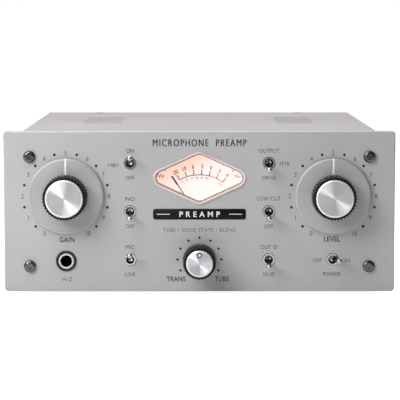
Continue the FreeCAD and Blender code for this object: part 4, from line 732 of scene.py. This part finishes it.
# The rim finish is pale to paint the bright highlight along the bevel. The dot in the blend knob's
# dimple uses it too.
rim_highlight_metal = finish("cap_rim_painted_highlight", (0.90, 0.90, 0.90), 0.3, 0.35, tone=0.03, bump=0.1)
for knob, axis in DIALS.items():
    bm = bmesh.new()
    spin(bm, [(0, CAP_BACK), (CAP_R - 0.1, CAP_BACK), (CAP_R, CAP_BACK + 0.1),
              (CAP_R, CAP_FRONT - 0.7), (CAP_R - 0.85, CAP_FRONT - 0.1),
              (CAP_R - 0.95, CAP_FRONT), (0, CAP_FRONT)], steps=128)
    cap = settle(knob + "_cap_disc", bm, cap_metal, knob + "_control",
                 (axis.x, PANEL_FRONT, axis.z))
    cap_rim(knob + "_cap_rim", knob + "_control", (axis.x, PANEL_FRONT, axis.z), CAP_R, CAP_FRONT,
            steps=128)
    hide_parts(knob + "_knob_cap")

# %% [markdown]
# ## The blend knob's cap
# This knob has no skirt, so a round dimple near the edge of its cap is the pointer. A ball
# cuts the dimple out of the disc. A dark ring on its wall is painted shade, and a pale dot
# in its middle is a painted highlight.

# %% Blend cap and its dimple
BLEND_FACE = low("blend_knob_cap").y
BLEND_CAP_R = (high("blend_knob_cap").x - low("blend_knob_cap").x) / 2
BLEND_CAP_DEEP = 1.2
DIMPLE_UP = 4.7             # from the knob's axis to the middle of the dimple
BALL_R = 2.25
DIMPLE_DEEP = 0.45
bm = bmesh.new()
spin(bm, [(0, -BLEND_CAP_DEEP), (BLEND_CAP_R, -BLEND_CAP_DEEP), (BLEND_CAP_R, -0.7),
          (BLEND_CAP_R - 0.85, -0.1), (BLEND_CAP_R - 0.95, -0.01), (0, -0.01)], steps=112)
ball = bmesh.new()
bmesh.ops.create_uvsphere(ball, u_segments=48, v_segments=24, radius=BALL_R)
bmesh.ops.translate(ball, vec=(0, DIMPLE_DEEP - BALL_R, DIMPLE_UP), verts=ball.verts)
cap = settle("blend_cap_disc", drilled(bm, ball), cap_metal, "blend_control",
             (BLEND.x, BLEND_FACE, BLEND.z))
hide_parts("blend_knob_cap")
cap_rim("blend_cap_rim", "blend_control", (BLEND.x, BLEND_FACE, BLEND.z), BLEND_CAP_R, 0, steps=112)
# Painted shade for the steep wall of the dimple, and then a pale dot as its painted highlight.
dimple_painted_shade = finish("dimple_painted_shade_finish", (0.05, 0.05, 0.055), 0.35, tone=0.2)
bm = bmesh.new()
spin(bm, [(0.75, -0.5), (1.35, -0.2), (1.47, -0.1), (1.47, 0), (1.35, 0), (0.75, -0.3)],
     steps=36, closed=True)
settle("blend_dimple_shade_ring", bm, dimple_painted_shade, "blend_control",
       (BLEND.x, BLEND_FACE, BLEND.z + DIMPLE_UP))
bm = bmesh.new()
spin(bm, [(0, -0.6), (0.76, -0.5), (0.76, -0.34), (0.6, -0.28), (0, -0.26)], steps=36)
settle("blend_dimple_highlight_dot", bm, rim_highlight_metal, "blend_control",
       (BLEND.x, BLEND_FACE, BLEND.z + DIMPLE_UP))

# %% [markdown]
# ## Printing: letters, dots and lines
# The panel is silk-screened. Ink is a layer with a real, if tiny, thickness, so letters
# here are thin closed slabs a few hundredths of a millimetre proud of the paint. Text is
# made with Blender's own font as a curve, turned into a mesh and stood upright. Its
# height is set by the height of a capital letter, which is how printers measure legends.

# %% Functions: letters, dots, strokes
INK = 0.05
EXTRUDE = 0.02              # half the depth of the slab that a text curve becomes


def words_mesh(words, spread, weight):
    """A slab of text in the XY plane, with capitals one unit high, centred across."""
    curve = bpy.data.curves.new("legend", "FONT")
    curve.body = words
    curve.align_x = "CENTER"
    curve.space_character = spread
    curve.resolution_u = 4
    curve.offset = weight
    curve.extrude = EXTRUDE
    made = bpy.data.objects.new("legend", curve)
    bpy.context.scene.collection.objects.link(made)
    bpy.context.view_layer.update()
    mesh = bpy.data.meshes.new_from_object(made)
    bpy.data.objects.remove(made)
    bpy.data.curves.remove(curve)
    return mesh


capital = words_mesh("H", 1.0, 0.0)
CAPITAL = max(v.co.y for v in capital.vertices)
print("a capital H is", round(CAPITAL, 3), "units high")


def letters(bm, words, x, z, cap, face, narrow=0.86, spread=1.06, weight=0.0, turn_deg=0.0):
    """Print words centred on x and z, with capitals cap mm high, on the plane y = face."""
    mesh = words_mesh(words, spread, weight)
    scale = cap / CAPITAL
    depth = -INK / (2 * EXTRUDE)
    stand = Matrix(((narrow * scale, 0, 0, 0), (0, 0, depth, 0), (0, scale, 0, -cap / 2), (0, 0, 0, 1)))
    spun = Matrix.Rotation(math.radians(turn_deg), 4, "Y")
    mesh.transform(Matrix.Translation((x, face, z)) @ spun @ stand)
    bm.from_mesh(mesh)
    bpy.data.meshes.remove(mesh)


def dot(bm, x, z, r, face, steps=20):
    spin_face = [(r, -INK), (r, INK * 0.5), (r * 0.9, INK), (0, INK)]
    part = bmesh.new()
    spin(part, [(0, -INK)] + spin_face, steps=steps)
    bmesh.ops.translate(part, vec=(x, face, z), verts=part.verts)
    spare = bpy.data.meshes.new("dot")
    part.to_mesh(spare)
    part.free()
    bm.from_mesh(spare)
    bpy.data.meshes.remove(spare)


def stroke(bm, points, width, face):
    """A flat line of ink along points (x, z)."""
    sides = []
    for i, (x, z) in enumerate(points):
        before = Vector(points[max(i - 1, 0)])
        after = Vector(points[min(i + 1, len(points) - 1)])
        along = (after - before).normalized()
        off = Vector((-along.y, along.x)) * width / 2
        sides.append([bm.verts.new((x + off.x * s, face - t, z + off.y * s))
                      for s, t in ((-1, -INK), (-1, INK), (1, INK), (1, -INK))])
    for one, two in zip(sides, sides[1:]):
        for i in range(4):
            bm.faces.new([one[i], one[(i + 1) % 4], two[(i + 1) % 4], two[i]])
    bm.faces.new(sides[0])
    bm.faces.new(sides[-1])


def around(axis, r, degrees):
    """The point at r from the axis, measured clockwise from straight up."""
    return (axis.x + r * math.sin(math.radians(degrees)),
            axis.z + r * math.cos(math.radians(degrees)))


# %% [markdown]
# ## Panel legends
# Every control is named in small grey-black capitals. The words only say what a control
# does. Numbers run from 0 to 10 round the big dials, thirty degrees apart, with a dot
# halfway between two numbers. The blend knob has dots alone, between its two ends.

# %% Panel legends
legend_ink = finish("legend_ink", (0.035, 0.033, 0.036), 0.55, tone=0.25, grains=6000.0, bump=0.1)
SMALL = 2.2
LABELS = [
    ("ON", -38.3, 78.1), ("+48V", -47.6, 70.2), ("OFF", -38.4, 63.2),
    ("PAD", -38.3, 51.4), ("OFF", -38.4, 36.25), ("MIC", -38.4, 24.7), ("LINE", -38.4, 9.65),
    ("OUTPUT", 38.4, 78.1), ("MTR", 46.9, 70.9), ("DRIVE", 38.3, 63.2),
    ("LOW CUT", 38.3, 51.7), ("OFF", 38.3, 36.25), ("OUT Ø", 38.3, 24.7),
    ("IN Ø", 38.3, 9.65), ("OFF", 65.1, 17.3), ("ON", 81.1, 17.3),
    ("POWER", 73.3, 9.65), ("Hi-Z", -73.2, 6.9)]
dot_black = finish("dot_ink", (0.006, 0.006, 0.007), 0.5, tone=0.2, grains=6000.0, bump=0.1)
ink = bmesh.new()
dots = bmesh.new()
for words, x, z in LABELS:
    letters(ink, words, x, PANEL_BOTTOM + z, SMALL, PANEL_FRONT)
for words, x, z, cap in [("GAIN", -73.2, 28.9, 2.7), ("LEVEL", 73.2, 29.2, 2.7),
                         ("TRANS", -13.0, 7.0, 2.6), ("TUBE", 12.5, 7.0, 2.6)]:
    letters(ink, words, x, PANEL_BOTTOM + z, cap, PANEL_FRONT, weight=0.02)
for nudge in (-0.1, 0.1):
    letters(ink, "MICROPHONE  PREAMP", nudge, PANEL_BOTTOM + 82.5, 3.8, PANEL_FRONT, 0.72, 1.27)
letters(ink, "TUBE / SOLID STATE / BLEND", 0, PANEL_BOTTOM + 34.3, 2.0, PANEL_FRONT, 0.80, 1.32)
for axis in DIALS.values():
    for number in range(11):
        x, z = around(axis, 23.9, -150 + 30 * number)
        letters(ink, str(number), x, z, 2.5, PANEL_FRONT)
    for degrees in range(-135, 136, 30):
        dot(dots, *around(axis, 23.7, degrees), 0.76, PANEL_FRONT)
for degrees in range(-120, 121, 30):
    dot(dots, *around(BLEND, 12.15, degrees), 0.69, PANEL_FRONT)
settle("panel_legends", ink, legend_ink, "case", sharp=30)
settle("panel_dots", dots, dot_black, "case", sharp=30)

# %% [markdown]
# ## The nameplate
# A black enamelled bar under the meter carries one plain word. It is a thin plate with
# rounded corners and a bevelled edge, with the letters in pale enamel on top.

# %% Nameplate
def rounded_bar(half_w, half_h, corner, steps=8):
    """The outline of a bar with round corners, as (x, z) points."""
    points = []
    for cx, cz, start in ((1, 1, 0), (-1, 1, 90), (-1, -1, 180), (1, -1, 270)):
        for i in range(steps + 1):
            a = math.radians(start + 90 * i / steps)
            points.append((cx * (half_w - corner) + corner * math.cos(a),
                           cz * (half_h - corner) + corner * math.sin(a)))
    return points


def stack(bm, outlines):
    """Join outlines of equal length, given as (points, y), and close both ends."""
    loops = [[bm.verts.new((x, y, z)) for x, z in points] for points, y in outlines]
    count = len(loops[0])
    for one, two in zip(loops, loops[1:]):
        for i in range(count):
            bm.faces.new([one[i], one[(i + 1) % count], two[(i + 1) % count], two[i]])
    bm.faces.new(loops[0])
    bm.faces.new(loops[-1])


plate_black = finish("plate_enamel", (0.004, 0.004, 0.005), 0.4, tone=0.15, clouds=180.0,
                     Specular_IOR_Level=0.2, worn=((0.2, 0.2, 0.2), 0.4, 0.0002))
plate_z = PANEL_BOTTOM + 43.05
bm = bmesh.new()
stack(bm, [(rounded_bar(25.6, 2.95, 1.2), PANEL_FRONT + 0.02),
           (rounded_bar(25.6, 2.95, 1.2), PANEL_FRONT - 0.25),
           (rounded_bar(25.35, 2.7, 1.0), PANEL_FRONT - 0.45)])
bmesh.ops.translate(bm, vec=(0, 0, plate_z), verts=bm.verts)
settle("nameplate", bm, plate_black, "case")
bm = bmesh.new()
letters(bm, "PREAMP", 0, plate_z, 2.9, PANEL_FRONT - 0.45, 1.0, 1.7, 0.015)
for side in (-1, 1):
    stroke(bm, [(side * 16.5, plate_z), (side * 23.5, plate_z)], 0.35, PANEL_FRONT - 0.45)
settle("nameplate_word", bm, white_paint, "case", sharp=30)

# %% [markdown]
# ## The jack's dark ring
# A black ring round the instrument jack is a painted shadow of the gap between the
# panel's hole and the jack's bushing. It is a ring with a rounded front, spun from a short
# profile.

# %% Jack shade ring
JACK = middle("jack_bushing")
JACK_R = (high("jack_bushing").x - low("jack_bushing").x) / 2
bm = bmesh.new()
spin(bm, [(JACK_R + 0.03, 0.0), (JACK_R + 1.05, 0.0), (JACK_R + 1.05, 0.45), (JACK_R + 0.95, 0.66),
          (JACK_R + 0.75, 0.78), (JACK_R + 0.25, 0.78), (JACK_R + 0.08, 0.7), (JACK_R + 0.03, 0.55)],
     steps=72, closed=True)
settle("jack_shade_ring", bm, finishes["connector_black"], "case",
       (JACK.x, PANEL_FRONT, JACK.z))

# %% [markdown]
# ## Rear legends
# The sockets on the back are named too, in pale ink. These words face the other way, so
# the same slab of text is turned half a turn about the upright axis.

# %% Rear legends
def rear_letters(bm, words, x, z, cap):
    part = bmesh.new()
    for nudge in (-0.07, 0.07):
        letters(part, words, nudge, z, cap, 0, 0.9, weight=0.01)
    bmesh.ops.rotate(part, cent=(0, 0, 0), matrix=Matrix.Rotation(math.pi, 3, "Z"), verts=part.verts)
    bmesh.ops.translate(part, vec=(x, REAR_FACE, 0), verts=part.verts)
    spare = bpy.data.meshes.new("rear")
    part.to_mesh(spare)
    part.free()
    bm.from_mesh(spare)
    bpy.data.meshes.remove(spare)


rear_ink = finish("rear_ink", (0.03, 0.03, 0.032), 0.55, tone=0.25, grains=6000.0, bump=0.1)
bm = bmesh.new()
for words, x in (("MIC IN", -72.0), ("LINE IN", -40.0), ("LINE OUT", -8.0)):
    rear_letters(bm, words, x, high("xlr_shells").z + 5.0, 3.0)
rear_letters(bm, "AC MAINS", middle("power_inlet").x, high("power_inlet").z + 5.0, 3.0)
rear_letters(bm, "PIN 1 GND   PIN 2 +   PIN 3 -", -40.0, low("xlr_shells").z - 5.0, 2.2)
settle("rear_legends", bm, rear_ink, "case", sharp=30)

# %% [markdown]
# ## The meter window
# The window is a lozenge with round corners. A moulded clear cup fills the hole in the
# panel. Its wall carries light from the lamps inside, so it shows as a glowing rim, with
# a thin brown ring just inside it, a painted shadow of the rim, and a clear pane in front.
# The outline is worked out once, from the slope of the sides and the corner radius, and
# each ring is that outline moved inward by a few tenths.

# %% Lozenge outline
nose = [v.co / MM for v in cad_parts["meter_lens"].data.vertices
        if v.co.y / MM < PANEL_FRONT + 0.01]
WINDOW_Z = (min(v.z for v in nose) + max(v.z for v in nose)) / 2
WINDOW_HALF_W = max(v.x for v in nose)
WINDOW_SLOPE = math.radians(24.6)
CORNER_R = 5.4
print("window centre z", round(WINDOW_Z, 2), "half width", round(WINDOW_HALF_W, 2))


def lozenge(inset, steps=12):
    """The window's outline moved inward, as (x, z) points round the middle."""
    r = CORNER_R - inset
    point = WINDOW_HALF_W - inset + r * (1 / math.sin(WINDOW_SLOPE) - 1)
    side = point - r / math.sin(WINDOW_SLOPE)
    top = point * math.tan(WINDOW_SLOPE) - r / math.cos(WINDOW_SLOPE)
    half = math.pi / 2 - WINDOW_SLOPE
    corners = [(side, 0, 0, half), (0, top, math.pi / 2, WINDOW_SLOPE),
               (-side, 0, math.pi, half), (0, -top, -math.pi / 2, WINDOW_SLOPE)]
    points = []
    for cx, cz, middle_angle, reach in corners:
        for i in range(steps + 1):
            a = middle_angle - reach + 2 * reach * i / steps
            points.append((cx + r * math.cos(a), WINDOW_Z + cz + r * math.sin(a)))
    return points


def ring(bm, stations):
    """A closed ring whose section is stations, a loop of (inset, y)."""
    loops = [[bm.verts.new((x, y, z)) for x, z in lozenge(inset)] for inset, y in stations]
    count = len(loops[0])
    for one, two in zip(loops, loops[1:] + loops[:1]):
        for i in range(count):
            bm.faces.new([one[i], one[(i + 1) % count], two[(i + 1) % count], two[i]])


# %% [markdown]
# ## The glow
# Two small lamps above the dial light it unevenly: warm and orange near the upper left,
# pinkish white to the right and below. The group mixes two colours along a slanted line
# across the dial and adds soft clouds. The same glow colours the dial and the rim.

# %% Group: lamp glow
glow, l_in, l_out = new_group(
    "lamp_glow",
    {"Warm Colour": ("Color", (1.0, 0.62, 0.36, 1)), "Pale Colour": ("Color", (1.0, 0.88, 0.86, 1)),
     "Middle Z": ("Float", 0.0)},
    {"Colour": "Color"})
seat = add(glow, "TexCoord")
split = add(glow, "SeparateXYZ")
from_z = add(glow, "Math", operation="SUBTRACT")
lean = add(glow, "Math", operation="MULTIPLY_ADD")
lean.inputs[1].default_value = -2.2
lift = add(glow, "Math", operation="MULTIPLY")
lift.inputs[1].default_value = -1.0
height_share = add(glow, "MapRange")
height_share.inputs["From Min"].default_value = 0.004
height_share.inputs["From Max"].default_value = 0.038
uneven = add(glow, "TexNoise", Scale=70.0, Detail=1.0)
sway = add(glow, "Math", operation="MULTIPLY_ADD")
sway.inputs[1].default_value = 0.16
sway.inputs[2].default_value = -0.08
total = add(glow, "Math", operation="ADD", use_clamp=True)
mixed = add(glow, "Mix", data_type="RGBA")
join(glow,
     (seat.outputs["Object"], split.inputs[0]),
     (split.outputs["Z"], from_z.inputs[0]), (l_in.outputs["Middle Z"], from_z.inputs[1]),
     (from_z.outputs[0], lean.inputs[0]), (split.outputs["X"], lean.inputs[2]),
     (lean.outputs[0], lift.inputs[0]),
     (lift.outputs[0], height_share.inputs["Value"]),
     (seat.outputs["Object"], uneven.inputs["Vector"]),
     (uneven.outputs["Fac"], sway.inputs[0]),
     (height_share.outputs["Result"], total.inputs[0]),
     (sway.outputs[0], total.inputs[1]),
     (total.outputs[0], mixed.inputs[0]),
     (l_in.outputs["Pale Colour"], mixed.inputs[6]),
     (l_in.outputs["Warm Colour"], mixed.inputs[7]),
     (mixed.outputs[2], l_out.inputs["Colour"]))


def glowing(name, colour, strength, warm, pale, roughness, **plain):
    """A grained finish that also gives off the lamp glow."""
    made = finish(name, colour, roughness, tone=0.03, Emission_Strength=strength, **plain)
    tree = made.node_tree
    light = place(tree, glow, Warm_Colour=(*warm, 1), Pale_Colour=(*pale, 1),
                  Middle_Z=WINDOW_Z * MM)
    join(tree, (light.outputs["Colour"], tree.nodes["Principled BSDF"].inputs["Emission Color"]))
    return made


# %% [markdown]
# ## Rim, painted shadow, pane and light box
# The rim is a milky ring with a rounded front. Inside it a thin brown ring, set a little
# deeper, is a painted shadow of the rim, and the pane is real glass, so the lamps glint on
# it. Behind the panel a short tunnel joins the rim to the dial, as the white plastic light
# box of a meter does.

# %% Window pieces
rim_milk = glowing("window_rim", (0.50, 0.44, 0.43), 0.26, (0.55, 0.28, 0.20), (1.0, 0.86, 0.88), 0.2,
                   Coat_Weight=0.6)
# A thin brown ring inside the rim: painted shadow of the rim's edge on the window.
window_shadow_brown = finish("window_seal", (0.23, 0.11, 0.085), 0.5, tone=0.2, clouds=150.0)
pane_glass = finish("window_glass", (1.0, 1.0, 1.0), 0.02, tone=0.0, gloss=0.01, bump=0.02,
                    Transmission_Weight=1.0, IOR=1.2)
# The light box's walls glow: painted lamp light of the meter's lamps.
box_lamp_glow = glowing("light_box_painted_glow", (0.60, 0.52, 0.48), 0.35, (0.95, 0.50, 0.30),
                    (1.0, 0.80, 0.76), 0.6)
NOSE = low("meter_lens").y
DIAL_FACE = low("meter_dial").y
bm = bmesh.new()
ring(bm, [(0.0, PANEL_FRONT + 4.0), (0.0, NOSE + 0.6), (0.1, NOSE + 0.28), (0.32, NOSE + 0.07),
          (0.6, NOSE), (0.95, NOSE + 0.03), (1.2, NOSE + 0.2), (1.3, NOSE + 0.45),
          (1.3, PANEL_FRONT + 4.0)])
rim_piece = settle("meter_window_rim", bm, rim_milk, "case")
bm = bmesh.new()
ring(bm, [(1.3, NOSE + 0.75), (1.3, PANEL_FRONT + 4.0), (1.85, PANEL_FRONT + 4.0), (1.75, NOSE + 0.9),
          (1.6, NOSE + 0.75)])
settle("meter_window_shadow_ring", bm, window_shadow_brown, "case")
bm = bmesh.new()
stack(bm, [(lozenge(1.85), NOSE + 2.1), (lozenge(1.78), NOSE + 1.0), (lozenge(1.95), NOSE + 0.85)])
settle("meter_window_pane", bm, pane_glass, "case", sharp=25)
bm = bmesh.new()
ring(bm, [(1.0, PANEL_FRONT + 4.05), (1.0, DIAL_FACE - 0.1), (0.2, DIAL_FACE - 0.1),
          (0.2, PANEL_FRONT + 4.05)])
settle("meter_light_box", bm, box_lamp_glow, "case")
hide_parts("meter_lens")

# %% [markdown]
# ## The dial and its scale
# The dial is an ivory plate. Its scale is an arc about the needle's pivot, with seven
# ticks and numbers. Past zero the arc turns red, the usual warning of a level that is too
# high. A second, finer row of numbers sits under the arc. All of it is printed ink, made
# from the same strokes and letters as the panel's legends.

# %% Dial plate and scale
dial_glow = glowing("lit_dial", (0.50, 0.44, 0.40), 0.80, (0.92, 0.46, 0.25), (1.0, 0.86, 0.84), 0.6)
dial_low, dial_high = low("meter_dial"), high("meter_dial")
bm = bmesh.new()
half_h = (dial_high.z - dial_low.z) / 2
outline = [(x, z + (dial_high.z + dial_low.z) / 2) for x, z in rounded_bar(dial_high.x, half_h, 1.5)]
stack(bm, [(outline, dial_high.y), (outline, dial_low.y)])
dial_piece = settle("lit_dial_plate", bm, dial_glow, "case")
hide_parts("meter_dial")

pivot = Vector((0.0, 0.0, WINDOW_Z - 22.4))
ARC = 23.4
FIRST = -28.0               # degrees of the first tick, clockwise from straight up
STEP = 10.35
scale_face = DIAL_FACE - 0.02
dial_ink = finish("dial_ink", (0.02, 0.015, 0.015), 0.6, tone=0.2)
dial_red = finish("dial_red", (0.55, 0.06, 0.06), 0.6, tone=0.15)
black = bmesh.new()
red = bmesh.new()
zero = FIRST + 4 * STEP
end = FIRST + 6 * STEP
stroke(black, [around(pivot, ARC, FIRST + (zero - FIRST) * i / 24) for i in range(25)], 0.42, scale_face)
stroke(red, [around(pivot, ARC, zero + (end - zero) * i / 14) for i in range(15)], 0.42, scale_face)
for i, number in enumerate(["20", "10", "6", "3", "0", "3", "6"]):
    degrees = FIRST + STEP * i
    pen = black if i < 5 else red
    stroke(pen, [around(pivot, ARC, degrees), around(pivot, ARC + 2.9, degrees)], 0.5, scale_face)
    x, z = around(pivot, ARC + 4.7, degrees)
    letters(pen, number, x, z, 2.1, scale_face, 0.85, weight=0.015, turn_deg=degrees)
for i in range(6):
    degrees = FIRST + 2 + 7.4 * i
    x, z = around(pivot, ARC - 1.6, degrees)
    letters(black, str(20 * i), x, z, 1.1, scale_face, 0.85, weight=0.01, turn_deg=degrees)
x, z = around(pivot, ARC - 1.9, end - 1)
letters(red, "PEAK", x, z, 1.1, scale_face, 0.8, turn_deg=end)
for side in (-1, 1):
    letters(black, "VU", side * 21.3, WINDOW_Z + 0.3, 1.7, scale_face, 0.95, weight=0.02)
stroke(black, [(-19.7, WINDOW_Z + 3.2), (-18.1, WINDOW_Z + 3.2)], 0.3, scale_face)
stroke(red, [(17.9, WINDOW_Z + 3.2), (19.5, WINDOW_Z + 3.2)], 0.3, scale_face)
stroke(red, [(18.7, WINDOW_Z + 2.4), (18.7, WINDOW_Z + 4.0)], 0.3, scale_face)
settle("dial_scale_black", black, dial_ink, "case", sharp=30)
settle("dial_scale_red", red, dial_red, "case", sharp=30)
